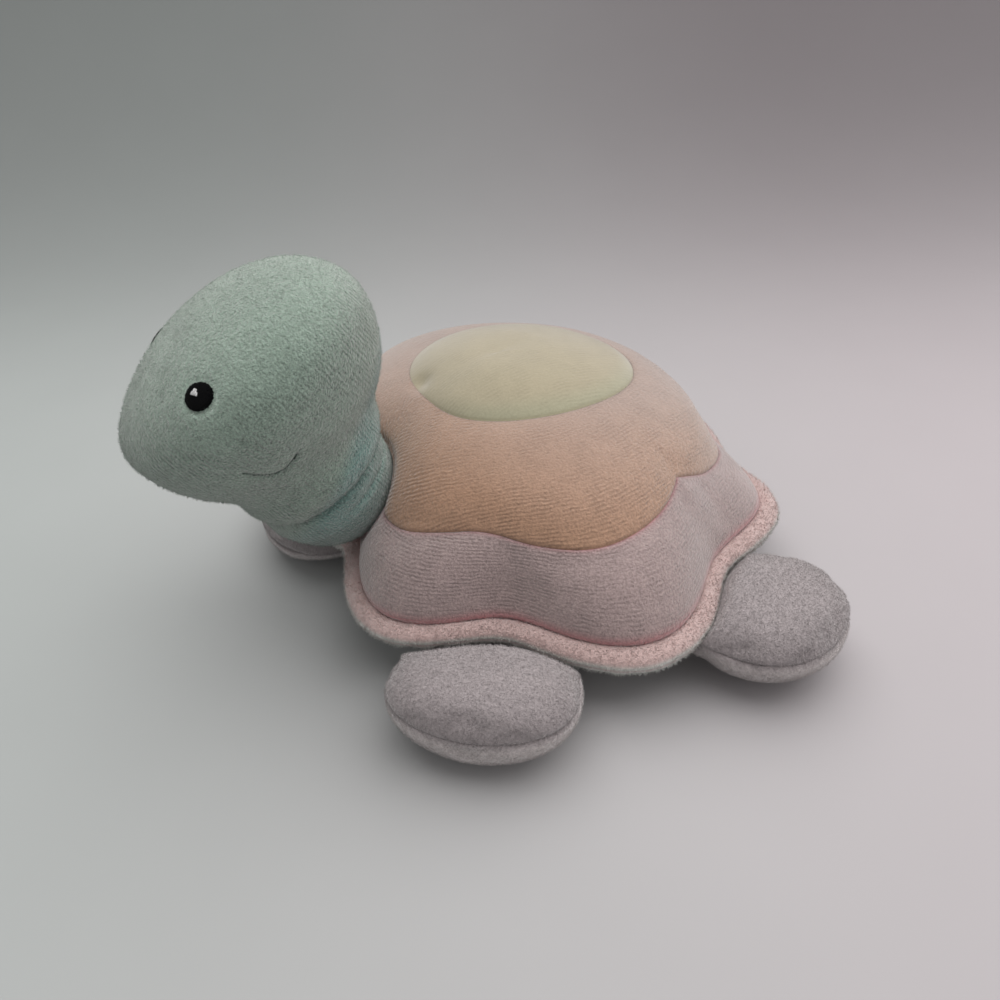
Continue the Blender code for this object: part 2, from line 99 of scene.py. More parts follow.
# Several noises at once: each has its strength, its size in millimetres and its seed
def ripples(points, waves):
    return sum(strength * ripple(points, size, seed) for strength, size, seed in waves)


# Unit normals of a grid that closes round its columns: the cross product of its two slopes
def gridNormals(grid):
    wide = np.concatenate([grid[:, -1:], grid, grid[:, :1]], axis=1)
    return unit(np.cross(np.gradient(grid, axis=0), (wide[:, 2:] - wide[:, :-2]) / 2))


# The same normals, each turned away from the core
def outNormals(grid, core):
    normal = gridNormals(grid)
    return normal * np.sign(np.sum(normal * (grid - core), axis=2, keepdims=True))


# Length walked along each column of a grid, from its first row
def walked(grid):
    steps = np.linalg.norm(np.diff(grid, axis=0), axis=2)
    return np.concatenate([np.zeros((1, grid.shape[1])), np.cumsum(steps, axis=0)])


# Puts a mesh, lamp or camera into the scene as an object
def placed(name, data):
    piece = bpy.data.objects.new(name, data)
    bpy.context.scene.collection.objects.link(piece)
    return piece


# A closed skin over a grid of rows and columns: each cell is one quad, the last column joins the first, and
# a pole point closes the first and the last row. The weave map holds millimetres along and across the ribs.
def skinOf(name, grid, weave=None, poles=(None, None), marks=None, finishes=(), rowFinish=None):
    rows, columns = grid.shape[:2]
    points = grid.reshape(-1, 3)
    index = np.arange(rows * columns).reshape(rows, columns)
    after = np.roll(index, -1, axis=1)
    faces = np.stack([index[:-1], index[1:], after[1:], after[:-1]], axis=-1).reshape(-1, 4).tolist()
    weave = np.zeros((rows, columns, 2)) if weave is None else weave
    wide = weave if weave.shape[1] == columns + 1 else np.concatenate([weave, weave[:, :1]], axis=1)
    near, far = wide[:, :-1], wide[:, 1:]
    loopWeave = [np.stack([near[:-1], near[1:], far[1:], far[:-1]], axis=2).reshape(-1, 2)]
    finishOfFace = np.repeat(np.zeros(rows - 1, int) if rowFinish is None else rowFinish, columns).tolist()
    for end, pole in enumerate(poles):
        if pole is None:
            continue
        tip = np.full(columns, len(points))
        points = np.concatenate([points, [pole]])
        first, second, one, two = (
            (after[-1], index[-1], far[-1], near[-1]) if end else (index[0], after[0], near[0], far[0])
        )
        faces += np.stack([tip, first, second], axis=1).tolist()
        middle = np.tile(wide[-end].mean(0), (columns, 1))
        loopWeave.append(np.stack([middle, one, two], axis=1).reshape(-1, 2))
        finishOfFace += [finishOfFace[end * (rows - 2) * columns]] * columns
    mesh = bpy.data.meshes.new(name)
    mesh.from_pydata((points * toMetres).tolist(), [], faces)
    weave = np.concatenate(loopWeave).astype(np.float32)
    mesh.uv_layers.new(name="weave").data.foreach_set("uv", weave.ravel())
    for key, values in (marks or {}).items():
        tips = [values[-end].mean() for end, pole in enumerate(poles) if pole is not None]
        layer = mesh.attributes.new(key, "FLOAT", "POINT")
        layer.data.foreach_set("value", np.append(values.ravel(), tips).astype(np.float32))
    for finish in finishes:
        mesh.materials.append(finish)
    mesh.polygons.foreach_set("material_index", np.array(finishOfFace, np.int32))
    mesh.polygons.foreach_set("use_smooth", np.ones(len(faces), bool))
    mesh.update()
    return faceOut(placed(name, mesh))


# Turns the faces of a closed mesh outwards: its signed volume, a sixth of the sum of corner triple
# products, is positive
def faceOut(piece):
    shape = bmesh.new()
    shape.from_mesh(piece.data)
    if shape.calc_volume(signed=True) < 0:
        bmesh.ops.reverse_faces(shape, faces=shape.faces)
        shape.to_mesh(piece.data)
    shape.free()
    return piece


# One array of a mesh's items, in rows of so many numbers
def readFrom(items, key, wide, kind=float):
    values = np.empty(len(items) * wide, kind)
    items.foreach_get(key, values)
    return values.reshape(-1, wide)


# Stands a pile of fibres on a finished skin, inside the same mesh: thin three-sided spikes at seeded
# places, spread by area, each rooted just under the skin along its normal and leaning a little, with the
# weave and marks of its root but paler
def addPile(piece, count, length, width, seed, lean, paler, sunk=0.15, shortest=0.55):
    mesh = piece.data
    mesh.calc_loop_triangles()
    triangles = readFrom(mesh.loop_triangles, "vertices", 3, np.int32)
    loops = readFrom(mesh.loop_triangles, "loops", 3, np.int32)
    finish = readFrom(mesh.loop_triangles, "material_index", 1, np.int32).ravel()
    points = readFrom(mesh.vertices, "co", 3) / toMetres
    weave = readFrom(mesh.uv_layers["weave"].data, "uv", 2)
    first, second, third = points[triangles].transpose(1, 0, 2)
    normal = np.cross(second - first, third - first)
    area = np.linalg.norm(normal, axis=1)
    dice = np.random.default_rng(seed)
    pick = dice.choice(len(area), count, p=area / area.sum())
    one, two = dice.random((2, count))
    over = one + two > 1
    one, two = np.where(over, 1 - one, one)[:, None], np.where(over, 1 - two, two)[:, None]
    root = first[pick] + one * (second - first)[pick] + two * (third - first)[pick]
    out = unit(normal)[pick]
    tilt = dice.normal(0, lean, (count, 3))
    tip = unit(out + tilt - out * np.sum(tilt * out, axis=1, keepdims=True))
    side = unit(np.cross(tip, dice.normal(0, 1, (count, 3))))
    turns = turnsRound(3)[:, None]
    ring = np.cos(turns) * side[:, None] + np.sin(turns) * np.cross(tip, side)[:, None]
    ring = (root - sunk * out)[:, None] + width / 2 * ring
    top = root + tip * (length * (shortest + (1 - shortest) * dice.random(count)))[:, None]
    spikes = np.concatenate([ring, top[:, None]], axis=1).reshape(-1, 3)
    sides = np.array(((0, 1, 3), (1, 2, 3), (2, 0, 3), (0, 2, 1)))
    faces = (4 * np.arange(count)[:, None, None] + sides).reshape(-1, 3)
    pile = bpy.data.meshes.new("pile")
    pile.from_pydata((spikes * toMetres).tolist(), [], faces.tolist())
    spread = np.repeat(weave[loops[pick, 0]], sides.size, axis=0).astype(np.float32)
    pile.uv_layers.new(name="weave").data.foreach_set("uv", spread.ravel())
    for key in ("seam", "tint", "plain", "bright"):
        mark = readFrom(mesh.attributes[key].data, "value", 1, np.float32).ravel() + paler * (key == "bright")
        layer = pile.attributes.new(key, "FLOAT", "POINT")
        layer.data.foreach_set("value", np.repeat(mark[triangles[pick, 0]], 4).astype(np.float32))
    pile.polygons.foreach_set("material_index", np.repeat(finish[pick], len(sides)))
    pile.polygons.foreach_set("use_smooth", np.ones(len(faces), bool))
    shape = bmesh.new()
    shape.from_mesh(mesh)
    shape.from_mesh(pile)
    shape.to_mesh(mesh)
    shape.free()
    bpy.data.meshes.remove(pile)
    mesh.update()


settling = {
    "size": 10, "frames": 20, "quality": 6, "pressure": 4.0, "levels": 10,
    "smoothings": 6, "calmRow": 2, "calmShare": 0.3,
}


# Grid values between every few rows or columns: in a straight line between the two beside each place
def spreadOut(values, count, skip, axis, closed):
    last = values.shape[axis] - 1
    place = np.arange(count) / skip
    low = np.minimum(place.astype(int), last)
    high = (low + 1) % (last + 1) if closed else np.minimum(low + 1, last)
    part = (place - low).reshape((1, -1, 1) if axis else (-1, 1, 1))
    return np.take(values, low, axis) * (1 - part) + np.take(values, high, axis) * part


# Points of a coarse grid before and after it has been run as cloth under pressure, many times life size,
# held where the held mark is 1 and shrunk by the drawn mark
def clothRun(coarse, held, drawn, poles, shrink):
    size, levels = settling["size"], settling["levels"]
    grown = [None if pole is None else np.array(pole) * size for pole in poles]
    piece = skinOf("settling", coarse * size, poles=grown)
    start = readFrom(piece.data.vertices, "co", 3, np.float32)
    for name, mark in (("held", held), ("drawn", drawn)):
        group = piece.vertex_groups.new(name=name)
        level = np.round(mark.ravel() * levels).astype(int)
        for step in range(1, levels + 1):
            group.add(np.flatnonzero(level == step).tolist(), step / levels, "REPLACE")
    cloth = piece.modifiers.new("cloth", "CLOTH")
    cloth.settings.quality = settling["quality"]
    cloth.settings.vertex_group_mass = "held"
    cloth.settings.vertex_group_shrink = "drawn"
    cloth.settings.shrink_min, cloth.settings.shrink_max = 0.0, shrink
    cloth.settings.use_pressure, cloth.settings.uniform_pressure_force = True, settling["pressure"]
    cloth.settings.effector_weights.gravity = 0
    cloth.collision_settings.use_collision = False
    cloth.point_cache.frame_start, cloth.point_cache.frame_end = 1, settling["frames"]
    for moment in range(1, settling["frames"] + 1):
        bpy.context.scene.frame_set(moment)
    shape = piece.evaluated_get(bpy.context.evaluated_depsgraph_get())
    end = readFrom(shape.to_mesh().vertices, "co", 3, np.float32)
    shape.to_mesh_clear()
    bpy.data.objects.remove(piece, do_unlink=True)
    bpy.context.scene.frame_set(1)
    return start, end


# How far cloth on a grid moves when it is blown up and its seams draw together, as one shift for each
# point. A coarse copy's shifts are spread back over the fine grid, smoothed, made alike in all columns
# towards a pole, freed of their mean swell along the normals, and capped.
def settled(grid, held, drawn, poles, skipRows=2, skipColumns=2, shrink=0.04, cap=2.5):
    coarse, coarseHeld, coarseDrawn = (values[::skipRows, ::skipColumns] for values in (grid, held, drawn))
    start, end = clothRun(coarse, coarseHeld, coarseDrawn, poles, shrink)
    shift = ((end - start) / toMetres / settling["size"])[:coarseHeld.size].reshape(coarse.shape)
    shift = spreadOut(shift, grid.shape[0], skipRows, 0, False)
    shift = spreadOut(shift, grid.shape[1], skipColumns, 1, True)
    for _ in range(settling["smoothings"]):
        shift = (np.roll(shift, 1, axis=1) + 2 * shift + np.roll(shift, -1, axis=1)) / 4
        shift[1:-1] = (shift[:-2] + 2 * shift[1:-1] + shift[2:]) / 4
    number = np.arange(len(shift))[:, None, None]
    calm = np.ones(number.shape)
    for pole, rank in ((poles[0], number), (poles[1], number[::-1])):
        if pole is not None:
            calm = np.minimum(calm, eased(rank, settling["calmRow"], len(shift) * settling["calmShare"]))
    shift = shift * calm + shift.mean(1, keepdims=True) * (1 - calm)
    normal = gridNormals(grid)
    free = 1 - held
    swell = np.sum(np.sum(shift * normal, axis=2) * free) / max(np.sum(free), 1)
    shift = shift - normal * (swell * free)[..., None]
    far = np.linalg.norm(shift, axis=2, keepdims=True)
    return shift * np.minimum(1, cap / np.maximum(far, 1e-6))


# A socket with arithmetic: every operator adds one Math node, also where the socket stands on the right
class Thread:
    def __init__(self, bolt, socket):
        self.bolt = bolt
        self.socket = socket

    def math(self, operation, *values):
        return self.bolt.node("ShaderNodeMath", {"operation": operation}, dict(enumerate(values)))

    def __add__(self, other):
        return self.math("ADD", self, other)

    def __sub__(self, other):
        return self.math("SUBTRACT", self, other)

    def __rsub__(self, other):
        return self.math("SUBTRACT", other, self)

    def __mul__(self, other):
        return self.math("MULTIPLY", self, other)

    __radd__ = __add__
    __rmul__ = __mul__

    def sine(self):
        return self.math("SINE", self)

    def clamped(self):
        return self.bolt.node("ShaderNodeClamp", {}, {0: self})

    # 0 below low, 1 above high, smooth between
    def step(self, low=0.0, high=1.0):
        ends = {0: self, 1: low, 2: high, 3: 0.0, 4: 1.0}
        return self.bolt.node("ShaderNodeMapRange", {"interpolation_type": "SMOOTHSTEP"}, ends)


# A material and the one way of adding a node to it: settings first, then socket values and links
class Bolt:
    def __init__(self, name):
        self.material = bpy.data.materials.new(name)
        self.material.use_nodes = True
        self.tree = self.material.node_tree
        self.surface = self.tree.nodes["Principled BSDF"]

    def feed(self, target, value):
        if isinstance(value, Thread):
            self.tree.links.new(value.socket, target)
        elif value is not None:
            target.default_value = value

    def node(self, kind, settings, sockets, out=0):
        made = self.tree.nodes.new(kind)
        for key, value in settings.items():
            setattr(made, key, value)
        for key, value in sockets.items():
            self.feed(made.inputs[key], value)
        return Thread(self, made.outputs[out])

    def set(self, **values):
        for key, value in values.items():
            self.feed(self.surface.inputs[key.replace("_", " ")], value)

    # Object place in millimetres
    def place(self):
        spot = self.node("ShaderNodeTexCoord", {}, {}, out="Object")
        return self.node("ShaderNodeVectorMath", {"operation": "SCALE"}, {0: spot, "Scale": 1 / toMetres})

    def noise(self, spot, scale, detail=2.0, roughness=0.5, distortion=0.0):
        grain = {"Scale": scale, "Detail": detail, "Roughness": roughness, "Distortion": distortion}
        return self.node("ShaderNodeTexNoise", {}, {"Vector": spot, **grain})

    def mark(self, name):
        return self.node("ShaderNodeAttribute", {"attribute_name": name}, {}, out="Fac")

    def split(self, spot):
        made = self.node("ShaderNodeSeparateXYZ", {}, {0: spot}).socket.node
        return [Thread(self, socket) for socket in made.outputs]

    def join(self, x, y, z):
        return self.node("ShaderNodeCombineXYZ", {}, {0: x, 1: y, 2: z})

    def blend(self, share, low, high, mode="MIX"):
        settings = {"data_type": "RGBA", "blend_type": mode}
        return self.node("ShaderNodeMix", settings, {0: share, 6: low, 7: high}, out=2)

    # A colour times the light that falls on it
    def shaded(self, colour, light):
        grey = self.node("ShaderNodeCombineColor", {}, {0: light, 1: light, 2: light})
        return self.blend(1.0, colour, grey, "MULTIPLY")

    # Bump of a height, as deep as the depth in millimetres
    def bump(self, height, depth):
        sockets = {"Strength": 1.0, "Distance": depth * toMetres, "Height": height}
        return self.node("ShaderNodeBump", {}, sockets)


# A full colour from its three parts
def paint(red, green, blue):
    return (red, green, blue, 1.0)


# Velour: ribs run along the weave map, worn away here and there by a slow noise, under short dashes of
# noise drawn out along the ribs and a fine round pile. Colour goes from the plain to the second colour by
# the tint mark and to the shade colour by the seam mark, which is painted shade in seams, creases and folds.
# It is paler by the bright mark, partly painted light on upward-facing skin and partly paler cloth, darker in
# the rib grooves as painted shade, and wanders in broad brushed patches.
def velour(name, looks):
    bolt = Bolt(name)
    spot = bolt.place()
    along, across, _ = bolt.split(bolt.node("ShaderNodeUVMap", {"uv_map": "weave"}, {}))
    slow = bolt.noise(spot, looks["patchScale"], 2.0)
    wander = bolt.noise(spot, looks["wanderScale"], 2.0)
    wave = (across * (2 * math.pi / looks["pitch"]) + wander * looks["wander"]).sine() * 0.5 + 0.5
    clear = bolt.noise(spot, looks["wornScale"], 3.0).step(*looks["worn"])
    ribs = wave * (clear * looks["wornDepth"] + (1 - looks["wornDepth"]))
    ribs = ribs * (bolt.mark("plain") * -looks["plainRibs"] + 1.0)
    sway = wander * looks["sway"]
    stretch, squeeze = looks["dashScale"]
    drawn = bolt.join(along * stretch + sway, across * squeeze + sway, slow * looks["drift"])
    dashes = bolt.noise(drawn, 1.0, 3.0, 0.62)
    pile = bolt.noise(spot, looks["pile"], 3.0, 0.65)
    fluff = bolt.noise(spot, looks["pile"] * looks["fluff"], 3.0, 0.6, 0.6)
    height = ribs * looks["ribs"] + dashes * looks["dashes"] + (pile + fluff) * looks["fuzz"]
    colour = bolt.blend(bolt.mark("tint").clamped(), paint(*looks["colour"]), paint(*looks["second"]))
    # Painted shade: the seam mark darkens the colour towards the shade colour in seams, creases and folds
    colour = bolt.blend((bolt.mark("seam") * looks["seam"]).clamped(), colour, paint(*looks["shadeColour"]))
    byFluff, byPile, byDashes = looks["grainShares"]
    grain = (fluff - 0.5) * (looks["grain"] * byFluff) + (pile - 0.5) * (looks["grain"] * byPile)
    grain = grain + (dashes - 0.5) * looks["dashes"] * byDashes
    grain = grain * (bolt.mark("plain") * -looks["plainGrain"] + 1.0)
    # Painted shade: the light term is darker in the rib grooves
    light = 1.0 + (slow - 0.5) * looks["patches"] + grain - (1.0 - wave) * clear * looks["groove"]
    # The bright mark pales the colour: painted light on the head's and flippers' upward faces, paler cloth
    # round the eyes, on the rim and in the pile
    light = light * (1.0 + bolt.mark("bright") * looks["brighter"])
    bolt.set(
        Base_Color=bolt.shaded(colour, light), Normal=bolt.bump(height, looks["depth"]),
        Roughness=looks["roughness"], Specular_IOR_Level=looks["shine"], Sheen_Weight=looks["sheen"],
        Sheen_Roughness=looks["sheenRoughness"], Sheen_Tint=paint(*looks["sheenColour"]),
    )
    return bolt.material


# Scales are for noise on places in millimetres, and the grain shares are for fluff, pile and dashes
velourBasis = {
    "pitch": 1.45, "wander": 6.0, "wanderScale": 0.22, "patches": 0.12, "patchScale": 0.06, "wornScale": 0.13,
    "worn": (0.38, 0.64), "wornDepth": 0.75, "dashScale": (0.5, 1.25), "sway": 3.0, "drift": 4.0,
    "ribs": 0.3, "dashes": 0.6, "fuzz": 0.9, "pile": 1.4, "fluff": 0.36, "depth": 0.5,
    "grain": 0.45, "grainShares": (0.3, 1.5, 0.7), "plainRibs": 0.8, "plainGrain": 0.5, "brighter": 0.5,
    "groove": 0.08, "seam": 0.75, "roughness": 0.93, "shine": 0.15, "sheen": 0.95, "sheenRoughness": 0.45,
    "sheenColour": (1.0, 0.98, 0.97),
}
velourLooks = {
    "yellowVelour": {
        "colour": (0.41, 0.36, 0.25), "second": (0.40, 0.385, 0.27), "shadeColour": (0.30, 0.26, 0.16),
        "ribs": 0.14, "dashes": 0.3, "fuzz": 0.3, "depth": 0.3, "grain": 0.3,
    },
    "peachVelour": {
        "colour": (0.44, 0.265, 0.175), "second": (0.435, 0.32, 0.27), "shadeColour": (0.20, 0.11, 0.07),
        "ribs": 0.4, "dashes": 0.5, "fuzz": 0.6, "grain": 0.8, "groove": 0.12,
    },
    "lilacVelour": {
        "colour": (0.405, 0.31, 0.30), "second": (0.54, 0.235, 0.245), "shadeColour": (0.44, 0.12, 0.145),
        "ribs": 0.42, "groove": 0.14, "grain": 1.0,
    },
    "pinkVelour": {
        "colour": (0.64, 0.465, 0.44), "second": (0.62, 0.63, 0.59), "shadeColour": (0.46, 0.16, 0.175),
        "fuzz": 1.1, "ribs": 0.0, "dashes": 0.3, "grain": 0.4, "pile": 1.9,
    },
    "paleMintVelour": {
        "colour": (0.62, 0.66, 0.61), "second": (0.62, 0.66, 0.61), "shadeColour": (0.4, 0.42, 0.4),
    },
    "mintVelour": {
        "colour": (0.297, 0.385, 0.322), "second": (0.205, 0.35, 0.32), "shadeColour": (0.07, 0.105, 0.09),
        "ribs": 0.36, "fuzz": 1.3, "depth": 0.85, "grain": 1.6, "pile": 1.45, "sheen": 1.0,
        "sheenRoughness": 0.38,
    },
    "greyLilacVelour": {
        "colour": (0.335, 0.295, 0.30), "second": (0.47, 0.425, 0.42), "shadeColour": (0.13, 0.105, 0.105),
        "ribs": 0.1, "fuzz": 0.8, "pile": 1.6, "grain": 0.7, "seam": 0.35,
    },
}
finishes = {name: velour(name, {**velourBasis, **looks}) for name, looks in velourLooks.items()}
print("finishes ready")


# Reaches, patch shares and rim sizes are marked by their turn from the head in degrees
shell = {
    "reaches": ((0, 62), (36, 86), (57, 80), (87, 103), (114, 88), (137, 95), (180, 86)),
    "tailHollow": {"turn": 153.5, "spread": 10.5, "spreadBehind": 19.0, "depth": 10.0, "power": 8.0},
    "front": 70.0, "tail": 90.0, "side": 95.5, "top": 80.5, "foot": 24.5, "power": 1.6, "lobePower": 4.0,
    "length": 118.0, "girth": 90.0, "columns": 384, "rows": (34, 48, 52), "bunching": 0.65, "tip": 0.012,
    "ovalShare": (0.36, 0.13, 0.08, 0.05),
    "patchShare": ((0, 0.66), (23, 0.683), (30, 0.675), (40, 0.648), (52, 0.627), (58, 0.634),
                   (65, 0.656), (77, 0.661), (90, 0.652), (104, 0.652), (109, 0.642), (113.5, 0.622),
                   (118, 0.648), (124, 0.684), (137, 0.712), (145, 0.745), (155, 0.735), (180, 0.69)),
    "notch": 113.5, "notchWidth": 4.0, "puff": 0.8, "puffSunk": 0.35, "puffReach": 14.0, "ovalPuff": 0.5,
    "ovalPuffReach": 5.0, "slump": 0.6, "slumps": ((0.8, 30.0, 1), (0.2, 11.0, 2)), "calm": (6.0, 8.0),
    "flatter": 1.6, "tuck": 1.1, "core": 30.0, "firmFoot": (2.0, 10.0), "firmNeck": (4.0, 14.0),
    "settle": {"skipRows": 3, "skipColumns": 4, "shrink": 0.02, "cap": 0.8},
    "groove": 0.7, "grooveWidth": 0.6, "seamShadeWidth": 0.6, "drawWidth": 3.0, "tuckWidth": 1.6,
    # The paler shares are painted light on the peach: by the oval, towards the tail and on the far side, less
    # a constant
    "neckDip": 1.8, "neckDipWidth": 1.4, "paler": (0.75, 0.475, 0.35, 0.4),
    "waists": ({"turn": 136, "spread": 20, "height": 0.3, "tall": 0.2, "depth": 3.6},
               {"turn": 61, "spread": 11, "height": 0.2, "tall": 0.2, "depth": 3.2}),
    "dent": {"place": (-9.5, -27.5), "spread": (4.5, 3.5), "above": 50.0, "depth": 1.4},
    "belly": ((1.0, 20.4), (0.9, 19.0), (0.76, 15.0), (0.62, 8.0), (0.55, 2.5), (0.50, 0.0), (0.3, 0.0)),
    "bellyRows": 40, "bellyTop": 22.6, "bellyPitch": 2.0,
    "rimSizes": ((-18, 0.95), (0, 1.0), (18, 0.95), (36, 0.84), (57, 0.73), (72, 0.86), (87, 0.95),
                 (103, 0.82), (114, 0.74), (126, 0.9), (137, 1.0), (154, 0.9), (168, 1.0), (180, 1.0)),
    "rimWidth": 5.5, "rimHeight": 4.4, "rimOut": 1.8, "rimMiddle": 20.4, "rimOverlap": 0.3,
    "rimColumns": 480, "rimRows": 48, "rimBright": 0.2, "rimWaves": ((0.3, 9.0, 4),),
    "rimLumps": ((0.22, 3.0, 5), (0.12, 1.3, 6)), "rimSeam": {"turn": 0.2, "width": 0.12, "depth": 0.35},
    "rimPile": {"count": 37000, "length": 1.5, "width": 0.24, "seed": 5, "lean": 0.8, "paler": 0.4},
}
neck = {
    "pivot": (0.0, -74.5, 66.0), "lean": 33.0, "ball": 28.4, "clearance": 0.5, "sway": 3.8, "slim": 1.03,
    "profile": ((-31.0, 16.0), (-26.0, 20.2), (-20.0, 22.8), (-13.5, 24.6), (-10.0, 25.6), (-6.5, 26.8),
                (-4.0, 27.5), (-2.0, 28.1), (0.0, 28.4)),
    "root": -31.0, "top": 24.0, "behind": -20.0, "lowest": -33.0,
    # Each fades towards the front by its fade, between two shares of the ball's radius
    "folds": ({"rise": -7.2, "depth": 2.2, "width": 1.1, "tilt": 2.0, "fade": 0.75, "between": (0.2, 0.95)},
              {"rise": -13.8, "depth": 1.2, "width": 0.8, "tilt": 3.0, "fade": 1.0, "between": (-0.2, 0.4)}),
}
neckPivot = np.array(neck["pivot"])
neckLine = np.array([0.0, -math.sin(neck["lean"] * degree), math.cos(neck["lean"] * degree)])
neckAhead = np.array([0.0, -math.cos(neck["lean"] * degree), -math.sin(neck["lean"] * degree)])


# Turn away from the head to either side, in degrees, from 0 to 180
def fromHead(turn):
    return np.abs((turn + math.pi) % (2 * math.pi) - math.pi) / degree


# Hollow on each side of the tail, where the foot and rim are drawn in: a bell over the turn, wider on its
# far side
def tailHollow(turn):
    hollow = shell["tailHollow"]
    past = fromHead(turn) - hollow["turn"]
    return hollow["depth"] * bell(past, np.where(past < 0, hollow["spread"], hollow["spreadBehind"]))


# Reach of the shell's lobes at a turn: half a cosine from each lobe to the next hollow
def lobeReach(turn):
    turn = fromHead(turn)
    angles, reaches = np.array(shell["reaches"], float).T
    step = np.clip(np.searchsorted(angles, turn) - 1, 0, len(angles) - 2)
    share = (turn - angles[step]) / (angles[step + 1] - angles[step])
    return reaches[step] + (reaches[step + 1] - reaches[step]) * (1 - np.cos(math.pi * share)) / 2


# Reach of the shell's outline: its lobes less the hollow beside the tail
def outlineReach(turn):
    return lobeReach(turn) - tailHollow(turn)


# Reach without the lobes: an oval longer towards the tail
def plainReach(turn):
    middle, shift = (shell["tail"] + shell["front"]) / 2, (shell["tail"] - shell["front"]) / 2
    return np.hypot((middle - shift * np.cos(turn)) * np.cos(turn), shell["side"] * np.sin(turn))


# Place at a turn from the head, a reach from the middle and a height: sine of the turn sideways, cosine to
# the front
def towards(turn, reach, height):
    return np.stack([reach * np.sin(turn), -reach * np.cos(turn), height + 0 * turn], axis=-1)


# Direction square to the outline, outwards: its slope over a small step, turned by a quarter
def outlineOut(turn):
    step = 0.004
    after, before = (towards(turn + part, outlineReach(turn + part), 0.0) for part in (step, -step))
    slope = after - before
    return unit(np.stack([slope[..., 1], -slope[..., 0], 0 * turn], axis=-1))


# Dome: a superellipse from the top (share 0) to the foot (share 1), lobed more and more towards the foot
def domeAt(share, turn):
    angle = math.pi / 2 * (1 - share)
    out, up = (np.abs(part) ** (2 / shell["power"]) for part in (np.cos(angle), np.sin(angle)))
    reach = plainReach(turn) + (lobeReach(turn) - plainReach(turn)) * out ** shell["lobePower"]
    reach = reach - tailHollow(turn) * out ** shell["tailHollow"]["power"]
    return towards(turn, reach * out, shell["foot"] + (shell["top"] - shell["foot"]) * up)


# Share of the dome at the oval panel's edge: an oval, set back from the head and a little flatter on the
# near side
def ovalShare(turn):
    base, forward, width, near = shell["ovalShare"]
    flatter = near * np.maximum(np.sin(turn), 0) ** 2
    return base * (1 - forward * np.cos(turn) + width * np.cos(2 * turn) - flatter)


# Share of the dome at the patch's edge: the rounded line between the marks, but the straight one at the
# sharp notch
def patchShare(turn):
    turn = fromHead(turn)
    marks = np.array(shell["patchShare"], float)
    sharp = bell(turn - shell["notch"], shell["notchWidth"])
    return rounded(turn, marks, 3.0, 5) * (1 - sharp) + np.interp(turn, *marks.T) * sharp


# How far the neck's middle stands forward of its line: fully at the root, and not at all inside the head
def neckSway(rise):
    return neck["sway"] * (1 - eased(rise, -14.0, -3.0))


# How far up the neck's line a point lies, and how far out from it
def aboutNeck(points):
    local = points - neckPivot
    rise = local @ neckLine
    return rise, np.hypot(local @ neckAhead - neckSway(rise), local[..., 0] * neck["slim"])


# Radius of the neck at a rise along its line: root, roll, fold, then the ball that the head turns on
def neckRadius(rise):
    ball = np.sqrt(np.maximum(neck["ball"] ** 2 - (0.6 * rise) ** 2, 1.0))
    share = eased(rise, -2.0, 1.0)
    return rounded(rise, neck["profile"], 1.5, 5) * (1 - share) + ball * share


# Distance of a point out from the neck's skin: its way out from the line less the radius there
def neckGap(points):
    rise, away = aboutNeck(points)
    return away - neckRadius(rise)


# Direction square to the neck's line, where turn 0 is forward and a quarter turn is the turtle's left
def neckSpoke(around):
    return np.cos(around)[..., None] * neckAhead + np.sin(around)[..., None] * (sideways / neck["slim"])


# Depth of the neck's folds: each a sharp crease across the line, fading towards the front, and tilted so
# that the second one meets the shell there
def neckFold(points):
    rise = aboutNeck(points)[0]
    forward = (points - neckPivot) @ neckAhead / neck["ball"]
    sunk = 0
    for fold in neck["folds"]:
        depth = fold["depth"] * (1 - fold["fade"] * eased(forward, *fold["between"]))
        sunk = sunk + depth * crease(rise - fold["rise"] - fold["tilt"] * forward, fold["width"])
    return sunk


# Rows from one share to another, closer at both ends: part of a half cosine and the rest even steps
def clusteredRows(first, last, count):
    even = np.arange(count + 1)[:, None] / count
    part = shell["bunching"] * (1 - np.cos(math.pi * even)) / 2 + (1 - shell["bunching"]) * even
    return first + (last - first) * part


# How deep the oval's seam lies: it shows on the near side of the toy, and is nearly flat on the far one
def ovalDepth(turns):
    return 0.15 + 0.65 * eased(np.sin(turns), -0.5, 0.5)


# Lift of the dome's skin along its normal: puffed between the seams and slumped by slow noise away from
# them, less the flatter top, the dent at the front of the oval, and the waists of the skirt, which are
# bells over turn and height
def shellLift(dome, share, turns, gaps):
    swell = shell["puff"] * (eased(np.abs(gaps["patch"]), 0, shell["puffReach"]) - shell["puffSunk"])
    swell = swell + shell["ovalPuff"] * ovalDepth(turns) * eased(-gaps["oval"], 0, shell["ovalPuffReach"])
    fromSeam = np.minimum(np.abs(gaps["oval"]), np.abs(gaps["patch"]))
    calm = eased(fromSeam, 0, shell["calm"][0]) * eased(gaps["foot"], 0, shell["calm"][1])
    slump = ripples(dome, shell["slumps"])
    dent = shell["dent"]
    dented = dent["depth"] * (dome[..., 2] > dent["above"])
    for axis in (0, 1):
        dented = dented * bell(dome[..., axis] - dent["place"][axis], dent["spread"][axis])
    height = (dome[..., 2] - shell["foot"]) / (shell["top"] - shell["foot"])
    drawn = 0
    for waist in shell["waists"]:
        beside = waist["depth"] * bell(fromHead(turns) - waist["turn"], waist["spread"])
        drawn = drawn + beside * bell(height - waist["height"], waist["tall"])
    flatter = shell["flatter"] * (1 - eased(share, 0.2, 0.6))
    return swell + shell["slump"] * slump * calm - dented - drawn - flatter


# Way out from the outline to the rim's inner edge, less a small overlap
def rimInside():
    return shell["rimOut"] - shell["rimWidth"] - shell["rimOverlap"]


